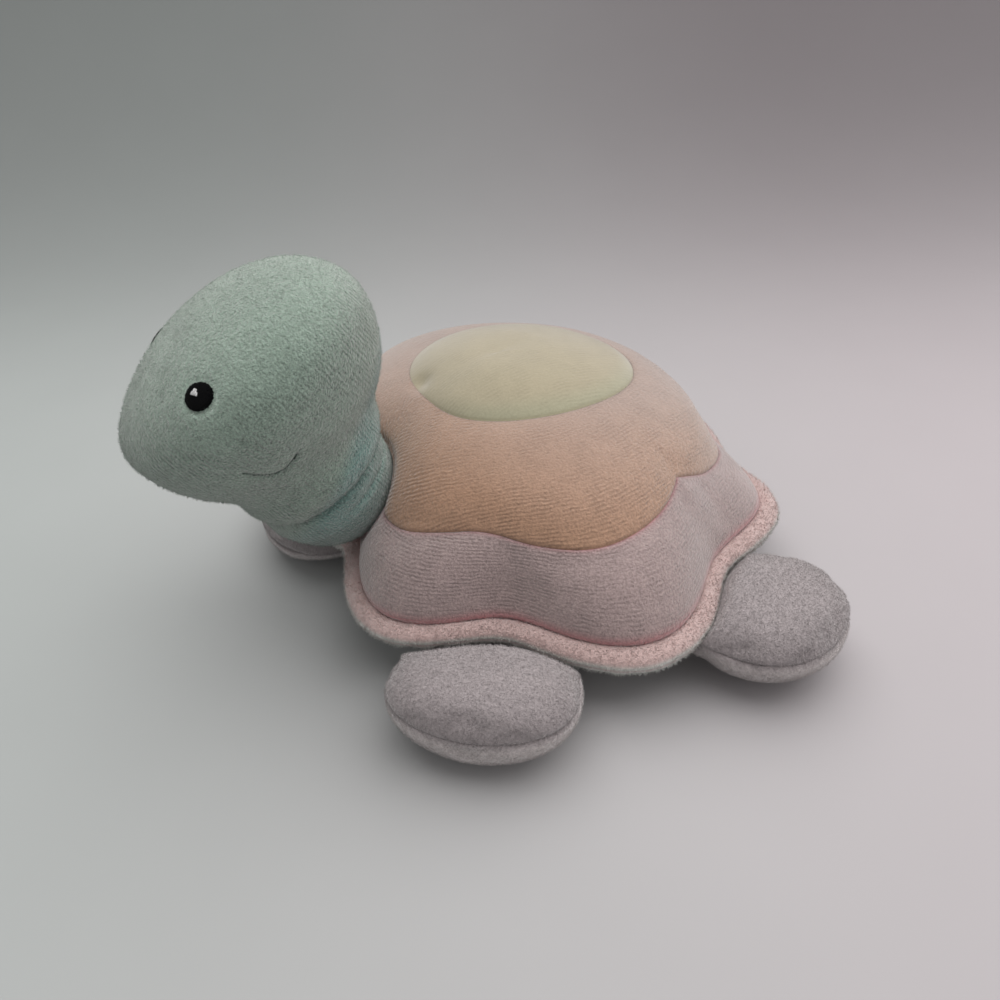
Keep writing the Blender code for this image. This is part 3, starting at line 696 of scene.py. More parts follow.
# Rows under the foot, where the skin goes on below the rim and becomes the belly: the outline times each
# share of the belly's profile
def bellyRows(turn):
    marks = np.array(shell["belly"], float).T
    steps = np.linspace(0, marks.shape[1] - 1, shell["bellyRows"])
    shares, heights = (np.interp(steps, np.arange(len(values)), values)[:, None, None] for values in marks)
    edge = towards(turn, outlineReach(turn), 0.0) + outlineOut(turn) * rimInside()
    return np.concatenate([[edge * 0.995 + upwards * shell["bellyTop"]], edge * shares + upwards * heights])


# Weave of the shell: straight over the oval, and below it round the turns by the girth and down by the way
# walked from the top, which the patch shortens in front and behind
def shellWeave(dome, share, zone, turns, fill):
    shares = np.linspace(0, 1, 200)
    down = np.interp(share, shares, walked(domeAt(shares[:, None], np.full((200, 1), math.pi / 2)))[:, 0])
    soft = (0.05 + np.sin(turns) ** 2) ** 0.22
    across = np.choose(zone[:, None], (dome[..., 0], down * soft, down))
    along = np.where(zone[:, None] == 0, dome[..., 1], shell["girth"] * turns)
    across = np.concatenate([across, across[-1:] + shell["bellyPitch"] * np.arange(1, fill + 1)[:, None]])
    along = np.concatenate([along, np.repeat(along[-1:], fill, axis=0)])
    whole = 2 * math.pi * shell["girth"] * (np.arange(len(along)) >= np.sum(zone == 0))[:, None]
    along = np.append(along, along[:, :1] + whole, axis=1)
    across = np.append(across, across[:, :1], axis=1)
    return np.stack([along, across], axis=-1)


# Marks of the shell: painted shade along its seams, at its foot and beside the neck; the oval greener on the
# near side; the peach paler towards the oval, the tail and the far side, as painted light from above and
# behind; the lilac pink at the foot; plain where the ribs hardly show
def shellMarks(dome, share, zone, turns, gaps, near):
    # Painted shade: the seam mark darkens the seam creases, the crease at the dome's foot and the dip beside
    # the neck
    width = shell["seamShadeWidth"]
    seam = crease(gaps["oval"], width) * ovalDepth(turns) + 0.8 * crease(gaps["patch"], width)
    inward = gaps["patch"] / (gaps["patch"] - gaps["oval"])
    # Painted light: the peach is paler on its upper part by the oval, towards the tail and on the far side
    inner, behind, beyond, less = shell["paler"]
    pale = inner * inward + behind * (1 - np.cos(turns)) + beyond * eased(-np.sin(turns), -0.5, 0.4) - less
    green = eased(gaps["oval"], -9, 0) * eased(dome[..., 0], 0, 30)
    return {
        "seam": np.clip(seam + crease(gaps["foot"], 3.0) + 0.6 * near, 0, 1),
        "tint": np.choose(zone[:, None], (green, np.clip(pale, 0, 1), eased(-gaps["foot"], -10, 0))),
        "plain": np.choose(zone[:, None], (0.6, 1 - 0.9 * eased(share, 0.42, 0.6), 0.3)),
    }


# Shell and belly, one skin: the dome with its lift and seams, settled as cloth, drawn in at its foot and
# beside the neck, closed by the belly, and cut open for the neck
def makeShell():
    turn = turnsRound(shell["columns"])
    oval, patch = ovalShare(turn), patchShare(turn)
    edges = (np.full_like(oval, shell["tip"]), oval, patch, np.ones_like(oval))
    zones = [clusteredRows(*ends, count) for *ends, count in zip(edges, edges[1:], shell["rows"])]
    zones = [zones[0]] + [rows[1:] for rows in zones[1:]]
    share = np.concatenate(zones)
    zone = np.repeat(np.arange(3), [len(rows) for rows in zones])
    turns = np.broadcast_to(turn, share.shape)
    gaps = {key: (share - edge) * shell["length"] for key, edge in (("oval", oval), ("patch", patch))}
    gaps["foot"] = (1 - share) * shell["length"]
    dome = domeAt(share, turns)
    normal = outNormals(dome, upwards * shell["core"])
    width = shell["grooveWidth"]
    pinch = crease(gaps["oval"], width) * ovalDepth(turns) + crease(gaps["patch"], width)
    seamed = np.clip(bell(gaps["oval"], shell["drawWidth"]) + bell(gaps["patch"], shell["drawWidth"]), 0, 1)
    collar = np.where(dome[..., 1] < neck["behind"], 1 - eased(neckGap(dome), *shell["firmNeck"]), 0)
    firm = np.clip(np.maximum(1 - eased(gaps["foot"], *shell["firmFoot"]), collar), 0, 1)
    loose = settled(dome, firm, seamed, ((0, 0, dome[0, :, 2].mean()), None), **shell["settle"])
    grid = dome + loose + normal * (shellLift(dome, share, turns, gaps) - shell["groove"] * pinch)[..., None]
    grid = grid - outlineOut(turns) * (shell["tuck"] * crease(gaps["foot"], shell["tuckWidth"]))[..., None]
    gap = np.maximum(neckGap(grid) - neck["clearance"], 0)
    beside = (aboutNeck(grid)[0] > neck["lowest"]) & (grid[..., 1] < neck["behind"])
    near = np.where(beside, crease(gap, shell["neckDipWidth"]), 0)
    belly = bellyRows(turn)
    whole = np.concatenate([grid - normal * (shell["neckDip"] * near)[..., None], belly])
    fill = len(belly)
    marks = {
        key: np.append(values, np.full((fill, len(turn)), 0.2 * (key == "seam")), axis=0)
        for key, values in shellMarks(dome, share, zone, turns, gaps, near).items()
    }
    weave = shellWeave(dome, share, zone, turns, fill)
    poles = ((0, 0, whole[0, :, 2].mean()), (0, 0, 0))
    piece = skinOf(
        "shellCloth", whole, weave, poles=poles, marks=marks, rowFinish=np.append(zone[1:], np.full(fill, 3)),
        finishes=[finishes[key] for key in ("yellowVelour", "peachVelour", "lilacVelour", "paleMintVelour")],
    )
    tool = neckSpace()
    cut = piece.modifiers.new("neck opening", "BOOLEAN")
    cut.operation, cut.solver, cut.object = "DIFFERENCE", "EXACT", tool
    applyAll(piece)
    bpy.data.objects.remove(tool, do_unlink=True)
    piece.data.polygons.foreach_set("use_smooth", np.ones(len(piece.data.polygons), bool))
    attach(piece, "body")
    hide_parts("shell_oval_panel", "shell_patch_panel", "shell_skirt_panel", "belly_panel", "body_filling")


# Puts a piece's modifiers into its mesh
def applyAll(piece):
    graph = bpy.context.evaluated_depsgraph_get()
    done = piece.evaluated_get(graph)
    mesh = bpy.data.meshes.new_from_object(done, preserve_all_data_layers=True, depsgraph=graph)
    piece.modifiers.clear()
    piece.data = mesh


# The space kept for the neck: its profile, grown by the clearance, turned about its line, which sways
# forward
def neckSpace():
    rises = np.append(-31.4, np.linspace(-31.3, 26, 60))
    line = neckPivot + rises[:, None] * neckLine + neckSway(rises)[:, None] * neckAhead
    spokes = neckSpoke(turnsRound(96))
    grid = line[:, None] + (neckRadius(rises) + neck["clearance"])[:, None, None] * spokes
    marks = {key: np.full(grid.shape[:2], float(key == "seam")) for key in ("seam", "tint", "plain")}
    piece = skinOf("neckSpace", grid, poles=(line[0], line[-1]), marks=marks)
    piece.hide_render = True
    return piece


# Size of the rim at a turn, as a share of its full width: slimmer between the lobes and near the head
def rimSize(turn):
    return rounded(fromHead(turn), shell["rimSizes"], 12.0, 25)


# Rim: an oval tube along the outline, pink above and pale mint below its outer seam. Where it is slimmer,
# its inner edge stays on the dome's foot and its top nearly where it is.
def makeRim():
    turn = turnsRound(shell["rimColumns"])
    angle = 2 * math.pi * np.arange(shell["rimRows"] + 1)[:, None] / shell["rimRows"]
    middle = towards(turn, outlineReach(turn), shell["rimMiddle"])
    out = outlineOut(turn)
    fat = rimSize(turn)
    reach = (shell["rimWidth"] * fat + ripples(middle, shell["rimWaves"])) * np.cos(angle)
    reach = reach + shell["rimOut"] - shell["rimWidth"] * (1 - fat)
    high = shell["rimHeight"] * (fat * np.sin(angle) + 0.8 * (1 - fat))
    grid = middle + out * reach[..., None] + upwards * high[..., None]
    grid = grid - gridNormals(grid) * ripples(grid, shell["rimLumps"])[..., None]
    seam = shell["rimSeam"]
    groove = bell(np.sin(angle + seam["turn"]), seam["width"]) * (np.cos(angle) > 0)
    grid = grid - out * (seam["depth"] * groove)[..., None]
    along = walked(middle[:, None])[:, 0]
    along = np.append(along, along[-1] + along[1])
    weave = np.stack(np.broadcast_arrays(along, 5 * angle), axis=-1)
    # Painted shade: the seam mark darkens the rim's upper inner side, where it meets the dome's foot, and its
    # outer seam groove
    fold = eased(-np.cos(angle), 0.1, 0.75) * (np.sin(angle) > 0)
    marks = {
        "tint": eased(-np.sin(angle - 0.35), -0.15, 0.35), "seam": np.clip(fold + 0.5 * groove, 0, 1),
        "plain": 0 * angle, "bright": shell["rimBright"] + 0 * angle,
    }
    marks = {key: np.repeat(values[:-1], len(turn), axis=1) for key, values in marks.items()}
    piece = skinOf("rimCloth", grid[:-1], weave[:-1], marks=marks, finishes=[finishes["pinkVelour"]])
    closeRing(piece, weave)
    addPile(piece, **shell["rimPile"])
    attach(piece, "body")
    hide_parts("shell_rim_roll")


# Joins the last row of a ring-shaped grid to its first, one quad for each column, with its own weave
def closeRing(piece, weave):
    rows, columns = weave.shape[0] - 1, weave.shape[1] - 1
    shape = bmesh.new()
    shape.from_mesh(piece.data)
    shape.verts.ensure_lookup_table()
    layer = shape.loops.layers.uv.active
    for column in range(columns):
        after = (column + 1) % columns
        corners = [(rows - 1, column), (0, column), (0, after), (rows - 1, after)]
        face = shape.faces.new([shape.verts[row * columns + place] for row, place in corners])
        face.smooth = True
        spots = [(rows - 1, column), (rows, column), (rows, column + 1), (rows - 1, column + 1)]
        for loop, (row, place) in zip(face.loops, spots):
            loop[layer].uv = weave[row, place]
    bmesh.ops.recalc_face_normals(shape, faces=shape.faces)
    shape.to_mesh(piece.data)
    shape.free()
    faceOut(piece)


makeShell()
makeRim()
print("shell, belly and rim ready")


head = {
    "middle": (0.0, -90.0, 98.0), "droop": 24.0, "width": 35.0, "snout": 42.5, "back": 46.0,
    "crown": 24.0, "chin": 40.0, "power": 1.95, "narrow": 0.06, "brow": 0.24, "throat": 7.0,
    "columns": 324, "rows": (94, 78), "rises": (-30.6, 34.0), "fan": 88.5,
    "slump": 0.8, "slumps": ((0.5, 22.0, 7), (0.2, 8.0, 8)), "slumpRises": (-22.0, 5.0),
    "firmRises": (-4.0, 10.0), "settle": {"skipRows": 3, "skipColumns": 3, "shrink": 0.04, "cap": 1.6},
    "eyeHold": 5.0, "smileDraw": (0.6, 4.0), "smileSunk": (0.8, 0.8), "smileShade": (0.6, 0.75),
    "smileFade": (0.6, 6.0, 19.0), "eyeDip": (0.35, 4.8, 0.9), "eyeRing": (0.7, 5.3, 0.5),
    "paintedSkyLight": (0.85, 0.25, 0.95),
    "pile": {"count": 21500, "length": 1.0, "width": 0.2, "seed": 7, "lean": 0.5, "paler": 0.7},
}
face = {
    "eye": (23.3, 12.1, 14.7), "eyeSizes": (4.7, 4.3), "eyeLift": 0.9, "eyeSunk": -0.9,
    "glint": (0.5, 1.5), "glintRadius": 1.05, "glintLift": 0.35, "glintSunk": 0.5,
    "smileBack": 1.7, "smileFront": 18.6, "smileDrops": (15.0, 10.4, 6.0), "smileSide": 32.0,
    "smileRadius": 0.2,
}
headMiddle = np.array(head["middle"])
headAhead = np.array([0.0, -math.cos(head["droop"] * degree), -math.sin(head["droop"] * degree)])
headUp = np.array([0.0, -math.sin(head["droop"] * degree), math.cos(head["droop"] * degree)])


# Into the head's own axes: side, forward along the snout, and up
def headLocal(points):
    local = points - headMiddle
    return local[..., 0], local @ headAhead, local @ headUp


# Out of the head's own axes: the middle plus each length along its axis
def headPlace(side, forward, up):
    across, ahead, above = (length[..., None] for length in (side, forward, up))
    return headMiddle + across * sideways + ahead * headAhead + above * headUp


# How far out a point lies in a superellipsoid with its own snout, back, crown and chin: 1 is on the skin
def headSize(side, forward, up):
    ahead = forward / np.where(forward > 0, head["snout"], head["back"])
    width = head["width"] * (1 - head["narrow"] * ahead)
    height = np.where(up > 0, head["crown"] * (1 - head["brow"] * ahead), head["chin"])
    power = head["power"]
    return sum(np.abs(part) ** power for part in (side / width, ahead, up / height)) ** (1 / power)


# Smooth union of the head and the neck: below zero inside, about a distance in millimetres outside
def bagDepth(points):
    side, forward, up = headLocal(points)
    size = np.maximum(headSize(side, forward, up), 1e-6)
    inHead = np.linalg.norm(points - headMiddle, axis=-1) * (1 - 1 / size)
    rise = aboutNeck(points)[0]
    inNeck = np.maximum(neckGap(points), np.maximum(rise - neck["top"], neck["root"] - rise))
    spread = head["throat"]
    share = np.clip(0.5 + 0.5 * (inNeck - inHead) / spread, 0, 1)
    return inNeck + (inHead - inNeck) * share - spread * share * (1 - share) * 0.5


# For rays from places on the neck's line, the way out to the bag's skin: halved between inside and outside
def wayOut(start, direction, most=90.0, halvings=30):
    low = np.zeros(start.shape[:-1])
    high = np.full(start.shape[:-1], most)
    for _ in range(halvings):
        middle = (low + high) / 2
        inside = bagDepth(start + direction * middle[..., None]) < 0
        low, high = np.where(inside, middle, low), np.where(inside, high, middle)
    return low


# The plain skin in the direction of a place in the head's axes, and the way out of it, which is the slope
# of the depth
def onBag(side, forward, up, step=0.05):
    goal = headPlace(*np.broadcast_arrays(np.asarray(side, float), forward, up))
    start = np.broadcast_to(headMiddle, goal.shape)
    ray = unit(goal - start)
    spot = start + ray * wayOut(start, ray)[..., None]
    slope = [bagDepth(spot + nudge) - bagDepth(spot - nudge) for nudge in np.eye(3) * step]
    return spot, unit(np.stack(slope, axis=-1))


# The smile in the head's axes: a line from the corner to the front, sagging by half a sine
def smileLine(count):
    share = np.linspace(0, 1, count)
    forward = face["smileBack"] + (face["smileFront"] - face["smileBack"]) * share
    corner, front, sag = face["smileDrops"]
    up = -corner + (corner - front) * share - sag * np.sin(math.pi * share)
    return np.stack(headLocal(onBag(face["smileSide"], forward, up)[0]), axis=-1)


# Rays from the neck's line to the skin: level up the neck, then from one place fanning up and over to the
# crown
def headRays():
    spokes = neckSpoke(turnsRound(head["columns"]))
    (first, last), (low, high) = head["rises"], head["rows"]
    rises = np.append(np.linspace(first, last, low)[:-1], np.full(high, last))[:, None, None]
    fans = np.append(np.zeros(low - 1), np.linspace(0, head["fan"], high) * degree)[:, None, None]
    return neckPivot + rises * neckLine + 0 * spokes, np.cos(fans) * spokes + np.sin(fans) * neckLine


# Distance from a place of the head's axes, or from its mirror on the other side
def besidePlace(local, place):
    side, forward, up = local
    return np.sqrt((np.abs(side) - place[0]) ** 2 + (forward - place[1]) ** 2 + (up - place[2]) ** 2)


# Weave of the head: along its columns by the way walked, and across them by the arc from the middle of each
# side
def headWeave(grid):
    half, quarter = head["columns"] // 2, head["columns"] // 4
    arc = walked(np.append(grid, grid[:, :1], axis=1).transpose(1, 0, 2)).T
    left, right = arc - arc[:, [quarter]], arc[:, [half + quarter]] - arc
    along = walked(grid)
    across = np.where(np.arange(head["columns"] + 1) <= half, left, right)
    return np.stack([np.append(along, along[:, :1], axis=1), across], axis=-1)


# Head and neck, one bag: the plain skin, settled as cloth with the eyes and the smile sewn down and the
# neck held by the shell, slumped by slow noise, then sunk along the folds, the smile and the edge of the
# eyes. Gives every second point of the plain skin, with its shift, for the face to lie on.
def makeHead():
    start, direction = headRays()
    plain = start + direction * wayOut(start, direction)[..., None]
    normal = outNormals(plain, start)
    rise = aboutNeck(plain)[0]
    local = headLocal(plain)
    side, forward, up = local
    toSmile = np.min([besidePlace(local, place) for place in smileLine(60)], axis=0)
    toEye = besidePlace(local, headLocal(onBag(*face["eye"])[0]))
    held = np.clip(1 - eased(rise, *head["firmRises"]) + 0.9 * bell(toEye, head["eyeHold"]), 0, 1)
    pull, reach = head["smileDraw"]
    bottom = neckPivot + neckLine * neck["root"]
    ends = (bottom, plain[-1].mean(0))
    loose = settled(plain, held, pull * bell(toSmile, reach), ends, **head["settle"])
    slump = ripples(plain, head["slumps"]) * eased(rise, *head["slumpRises"]) * head["slump"]
    fade, *along = head["smileFade"]
    fading = 1 - fade * eased(forward, *along)
    depth, width = head["smileSunk"]
    dip, away, spread = head["eyeDip"]
    sunk = neckFold(plain) + depth * fading * bell(toSmile, width) + dip * bell(toEye - away, spread)
    grid = plain + loose + normal * (slump - sunk)[..., None]
    ahead = (grid - neckPivot) @ neckAhead / neck["ball"]
    # Painted shade: the seam mark darkens the neck's folds, a band along the smile's dent and the neck's base
    # by the shell
    dark, width = head["smileShade"]
    seam = 0.5 * np.clip(neckFold(plain), 0, 1) + dark * fading * bell(toSmile, width) + 0.5 * (rise < -17)
    sides = 0.4 + 0.6 * eased(np.abs(side / head["width"]), 0.2, 0.8)
    ring, away, spread = head["eyeRing"]
    # Painted light: skin that faces up is paler, as if lit from above; the bright mark also holds the pale
    # ring round each eye
    pale, *slopes = head["paintedSkyLight"]
    lit = pale * eased(outNormals(grid, start)[..., 2], *slopes)
    # The tint mark makes the neck and the head's back above it darker and more teal, most on the sides, as
    # painted shade
    marks = {
        "seam": np.clip(seam, 0, 1), "tint": (1 - eased(rise + 12 * ahead, -5, 3)) * sides,
        "plain": 1.1 * eased(up, 0, 20), "bright": ring * bell(toEye - away, spread) + lit,
    }
    poles = (bottom, grid[-1].mean(0) + normal[-1].mean(0) * 0.05)
    piece = skinOf(
        "headAndNeck", grid, headWeave(grid), poles=poles, marks=marks, finishes=[finishes["mintVelour"]]
    )
    addPile(piece, **head["pile"])
    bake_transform(piece)
    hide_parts("head_cover", "head_filling", "neck_cover", "neck_filling")
    return [values[::2, ::2].reshape(-1, 3) for values in (plain, grid - plain)]


plainSkin, skinShift = makeHead()
print("head and neck ready")


# The finished skin under a place in the head's axes, raised by a lift: the plain skin and the nearest
# point's shift
def onHead(side, forward, up, lift):
    spot, out = onBag(side, forward, up)
    flat = spot.reshape(-1, 3)
    apart = (flat ** 2).sum(1)[:, None] - 2 * flat @ plainSkin.T + (plainSkin ** 2).sum(1)[None]
    return spot + skinShift[apart.argmin(1)].reshape(spot.shape) + out * np.asarray(lift)[..., None]


# A place on the flat that touches the skin at a middle point: along the snout by the first length, and
# square to that, upwards, by the second, then back onto the skin and raised by a lift
def onFlat(middle, ahead, above, lift, nudge=0.5):
    places = middle + nudge * np.diag([0.0, 1.0, 1.0])
    seats = [np.array(headLocal(onHead(*place, 0.0))) for place in places]
    first = unit(seats[1] - seats[0])
    second = seats[2] - seats[0]
    second = unit(second - first * (second @ first))
    place = seats[0] + ahead[..., None] * first + above[..., None] * second
    return onHead(place[..., 0], place[..., 1], place[..., 2], lift)


# Thread: strands of a slanting wave and a fine grain, in both light and bump
def threadFinish(name, colour, roughness, shine):
    bolt = Bolt(name)
    spot = bolt.place()
    strands = bolt.node(
        "ShaderNodeTexWave", {"wave_type": "BANDS", "bands_direction": "DIAGONAL"},
        {"Vector": spot, "Scale": 1.1, "Distortion": 3.0, "Detail": 2.0}, out=1,
    )
    grain = bolt.noise(spot, 2.5, 3.0)
    bolt.set(
        Base_Color=bolt.shaded(paint(*colour), strands * 0.5 + grain * 0.7 + 0.35),
        Normal=bolt.bump(strands + grain * 0.6, 0.25), Roughness=roughness, Specular_IOR_Level=shine,
    )
    return bolt.material


# Stitches in a low cushion on the head: rings from the edge to the middle, over a ring that is sunk into
# the skin
def makeCushion(name, middle, reach, sizes, lift, sunk, finish):
    around = turnsRound(reach.shape[1])
    ahead, above = sizes[0] * reach * np.cos(around), sizes[1] * reach * np.sin(around)
    skin = onFlat(middle, ahead, above, lift + 0 * reach)
    under = onFlat(middle, ahead[0], above[0], sunk + 0 * around)
    poles = (under.mean(0), skin[-1].mean(0))
    return skinOf(name, np.concatenate([under[None], skin]), poles=poles, finishes=[finish])


# Eye: a round cushion of satin stitches with a ragged edge
def makeEye(side, word, finish):
    around = turnsRound(96)
    part = np.linspace(1, 0.04, 14)[:, None]
    ragged = 0.035 * np.sin(23 * around) * np.sin(5 * around + 1) + 0.02 * np.sin(41 * around + 2)
    lift = face["eyeLift"] * np.sqrt(np.maximum(1 - part ** 4, 0)) - 0.5 * (part > 0.99)
    reach = part * (1 + ragged * part)
    middle = np.array(face["eye"]) * (side, 1, 1)
    sizes = face["eyeSizes"]
    piece = makeCushion(word + "Eye", middle, reach, sizes, lift, face["eyeSunk"], finish)
    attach(piece, "head")
    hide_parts(word + "_eye")


# Highlight: a small cushion with three blunt corners, on the eye's upper front
def makeGlint(side, word, finish):
    around = turnsRound(40)
    part = np.linspace(1, 0.1, 6)[:, None]
    reach = part * (1 + 0.22 * np.sin(3 * around + 0.6) + 0.1 * np.sin(7 * around))
    lift = face["eyeLift"] + face["glintLift"] * np.sqrt(1 - part ** 2) - 0.05
    middle = (np.array(face["eye"]) + (0, *face["glint"])) * (side, 1, 1)
    sizes = (face["glintRadius"], face["glintRadius"])
    piece = makeCushion(word + "Glint", middle, reach, sizes, lift, face["glintSunk"], finish)
    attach(piece, "head")
    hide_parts(word + "_eye_glint")


# Smile: a round thread along a sagging arc on the cheek, sunk half into the pile, thicker in each stitch
def makeSmile(side, word, finish):
    count = 120
    share = np.linspace(0, 1, count)
    places = smileLine(count)
    line = onHead(side * places[:, 0], places[:, 1], places[:, 2], np.full(count, 0.02))
    tangent = unit(np.gradient(line, axis=0))
    beside = unit(np.cross(tangent, unit(line - headMiddle)))
    out = np.cross(beside, tangent)
    around = turnsRound(10)[:, None]
    thick = face["smileRadius"] * (0.85 + 0.15 * np.abs(np.sin(share * 24))) * (1 - 0.45 * share)
    ring = np.cos(around) * beside[:, None] + np.sin(around) * out[:, None]
    grid = line[:, None] + thick[:, None, None] * ring
    piece = skinOf(word + "Smile", grid, poles=(line[0], line[-1]), finishes=[finish])
    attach(piece, "head")
    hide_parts(word + "_smile_stitch")


blackThread = threadFinish("blackThread", (0.003, 0.003, 0.0035), 0.5, 0.06)
whiteThread = threadFinish("whiteThread", (0.95, 0.95, 0.95), 0.6, 0.3)
smileThread = threadFinish("smileThread", (0.09, 0.125, 0.105), 0.9, 0.1)
for side, word in ((1, "left"), (-1, "right")):
    makeEye(side, word, blackThread)
    makeGlint(side, word, whiteThread)
    makeSmile(side, word, smileThread)
print("face ready")


# Rise of a quarter sine, from 0 to 1
def quarterSine(share):
    return np.sin(math.pi / 2 * share)


frontRise = {"under": 1.0, "rise": 13.0, "curve": eased}
rear = {
    "width": 27.3, "standOff": 19.0, "outer": 26.5, "top": 26.6, "seam": 19.0, "tuck": 0.0,
    "under": 2.6, "rise": 11.5, "curve": quarterSine,
}
flippers = {
    "power": 2.2, "lowerPower": 1.9, "tail": 4.0, "slack": 0.35, "below": 0.3, "columns": 192, "rows": 46,
    "lastRow": 0.985, "closer": 1.3, "groove": 0.4, "grooveShare": 0.014, "drawShare": 0.07, "slump": 0.3,
    # The bright pair pales the flipper's top, as painted light from above, and its lower panel
    "bright": (0.36, 0.55), "slumpSize": 24.0, "settle": {"shrink": 0.05, "cap": 1.6},
    "pile": {"count": 30000, "length": 0.9, "width": 0.18, "seed": 11, "lean": 0.5, "paler": 0.4},
    "left_front": {**frontRise, "width": 30.5, "standOff": 24.0, "outer": 21.5, "top": 27.4, "seam": 19.0,
                   "turn": 58.4, "aim": 46.0, "tuck": 0.0},
    "right_front": {**frontRise, "width": 36.0, "standOff": 20.0, "outer": 27.0, "top": 27.0, "seam": 11.0,
                    "turn": -43.8, "aim": -23.5, "tuck": 31.1},
    "left_rear": {**rear, "turn": 107.6, "aim": 112.0},
    "right_rear": {**rear, "turn": -107.6, "aim": -112.0},
}


# Height of the rim's and the belly's underside over a place, and the way out from the rim's middle line
def shellUnderside(points):
    turn = np.arctan2(points[..., 0], -points[..., 1])
    reach = np.hypot(points[..., 0], points[..., 1])
    shares, heights = np.array(shell["belly"], float)[::-1].T
    belly = np.interp(reach / (outlineReach(turn) + rimInside()), shares, heights, right=99.0)
    under = np.minimum(shell["rimMiddle"] - shell["rimHeight"], belly)
    return under, reach - outlineReach(turn) - shell["rimOut"]


# Superellipse's coordinate: the sine or cosine to the power of 2 over its own, with its sign
def bulged(value, power):
    return np.sign(value) * np.abs(value) ** (2 / power)


# Heights of a flipper: above its side seam up to the top, but no higher than the shell presses it, and
# below the seam down to the floor. The seam itself lies lower where the flipper is pressed.
def flipperHeights(size, up, pressed):
    seam = np.minimum(size["seam"], pressed * 0.93)
    above = seam + np.minimum((size["top"] - size["seam"]) * up, pressed - seam)
    return np.where(up > 0, above, seam * (1 + up))


# Flipper: a pillow in plan a superellipse, higher above its side seam than below, pressed low where it lies
# under the shell and rising past the rim's outer edge. Stitches draw the seam in.
def makeFlipper(word):
    size = flippers[word]
    power = flippers["power"]
    turn, aim = np.array(size["turn"] * degree), size["aim"] * degree
    root = towards(turn, outlineReach(turn) + shell["rimOut"] - size["tuck"], 0.0)
    ahead = np.array([math.sin(aim), -math.cos(aim), 0.0])
    across = np.array([ahead[1], -ahead[0], 0.0])
    half = 90 * np.linspace(0, flippers["lastRow"], flippers["rows"]) ** flippers["closer"]
    rises = np.append(-half[::-1], half[1:])[:, None]
    ownPower = np.where(rises < 0, flippers["lowerPower"], power)
    flat, up = bulged(np.cos(rises * degree), ownPower), bulged(np.sin(rises * degree), ownPower)
    spin = turnsRound(flippers["columns"])
    side, along = bulged(np.cos(spin), power), bulged(np.sin(spin), power)
    x = size["width"] * side * flat
    inner = size["standOff"] + flippers["tail"]
    y = size["standOff"] + np.where(along > 0, size["outer"], inner) * along * flat
    ground = root + ahead * y[..., None] + across * x[..., None]
    under, out = shellUnderside(ground)
    low = under - flippers["below"] - flippers["slack"]
    edge = shell["rimWidth"] * (2 * rimSize(np.arctan2(ground[..., 0], -ground[..., 1])) - 1) - size["under"]
    pressed = low + (size["top"] - low) * size["curve"](np.clip((out - edge) / size["rise"], 0, 1))
    z = flipperHeights(size, up, pressed)
    grid = ground + upwards * z[..., None]
    normal = outNormals(grid, grid.mean((0, 1)))
    step = np.abs(rises) / 90
    free = eased(out - edge, 1, 8)
    stitched = bell(step, flippers["drawShare"]) + 0 * x
    loose = settled(grid, 1 - free, stitched, (grid[0].mean(0), grid[-1].mean(0)), **flippers["settle"])
    lumps = ripple(grid, flippers["slumpSize"], size["turn"] * 0.1)
    slump = flippers["slump"] * lumps * eased(step, 0.1, 0.5)
    groove = crease(step, flippers["grooveShare"])
    grid = grid + loose * free[..., None] + normal * ((slump - flippers["groove"] * groove) * free)[..., None]
    grid[..., 2] = np.maximum(grid[..., 2], 0.05)
    # Painted shade: the seam mark darkens the side seam's groove; painted light: the bright mark pales the
    # top, and it also pales the lower panel
    above, below = flippers["bright"]
    marks = {
        "seam": groove, "tint": eased(-rises, 0, 12), "plain": 0 * rises,
        "bright": above * eased(up, 0.5, 1.0) + below * (up < 0),
    }
    marks = {key: values + 0 * x for key, values in marks.items()}
    name = word.replace("_", " ").title().replace(" ", "") + "Flipper"
    weave = np.stack([x, y + 0.55 * z], axis=-1)
    poles = (grid[0].mean(0), grid[-1].mean(0))
    piece = skinOf(name, grid, weave, poles=poles, marks=marks, finishes=[finishes["greyLilacVelour"]])
    addPile(piece, **flippers["pile"])
    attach(piece, word + "_flipper")
    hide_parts(word + "_flipper_upper_panel", word + "_flipper_lower_panel", word + "_flipper_filling")


for word in ("left_front", "right_front", "left_rear", "right_rear"):
    makeFlipper(word)
print("flippers ready")


# Each shadow has its strength and the distances behind the toy between which it grows, and each side its
# distances to the left
studio = {
    "floor": (0.51, 0.47, 0.488), "floorLeftShade": (0.45, 0.478, 0.468), "mottle": 0.04, "mottleScale": 0.02,
    "farShadow": (0.46, 30.0, 490.0), "rightShadow": (0.13, -60.0, 260.0), "rightSide": (-260.0, 60.0),
    "leftSide": (-260.0, 260.0), "floorBack": 260.0, "sweep": 340.0, "wall": 360.0, "front": -1500.0,
    "half": 2200.0,
    "key": {"place": (-0.2, 0.4, 1.2), "size": 2.6, "power": 27.0, "colour": (1.0, 0.98, 0.97)},
    "fill": {"place": (1.1, 0.9, 0.7), "size": 1.0, "power": 2.5, "colour": (1.0, 0.97, 0.97)},
    "world": 0.35, "aim": (0.0, 0.0, 0.05),
}
camera = {
    "place": (0.270502, -0.142631, 0.230714), "right": (0.49324, 0.86773, -0.06135),
    "up": (-0.47738, 0.32896, 0.81480), "forward": (-0.72721, 0.37260, -0.57649),
    "lens": 34.402, "sensor": 36.0, "near": 0.01, "far": 20.0,
}


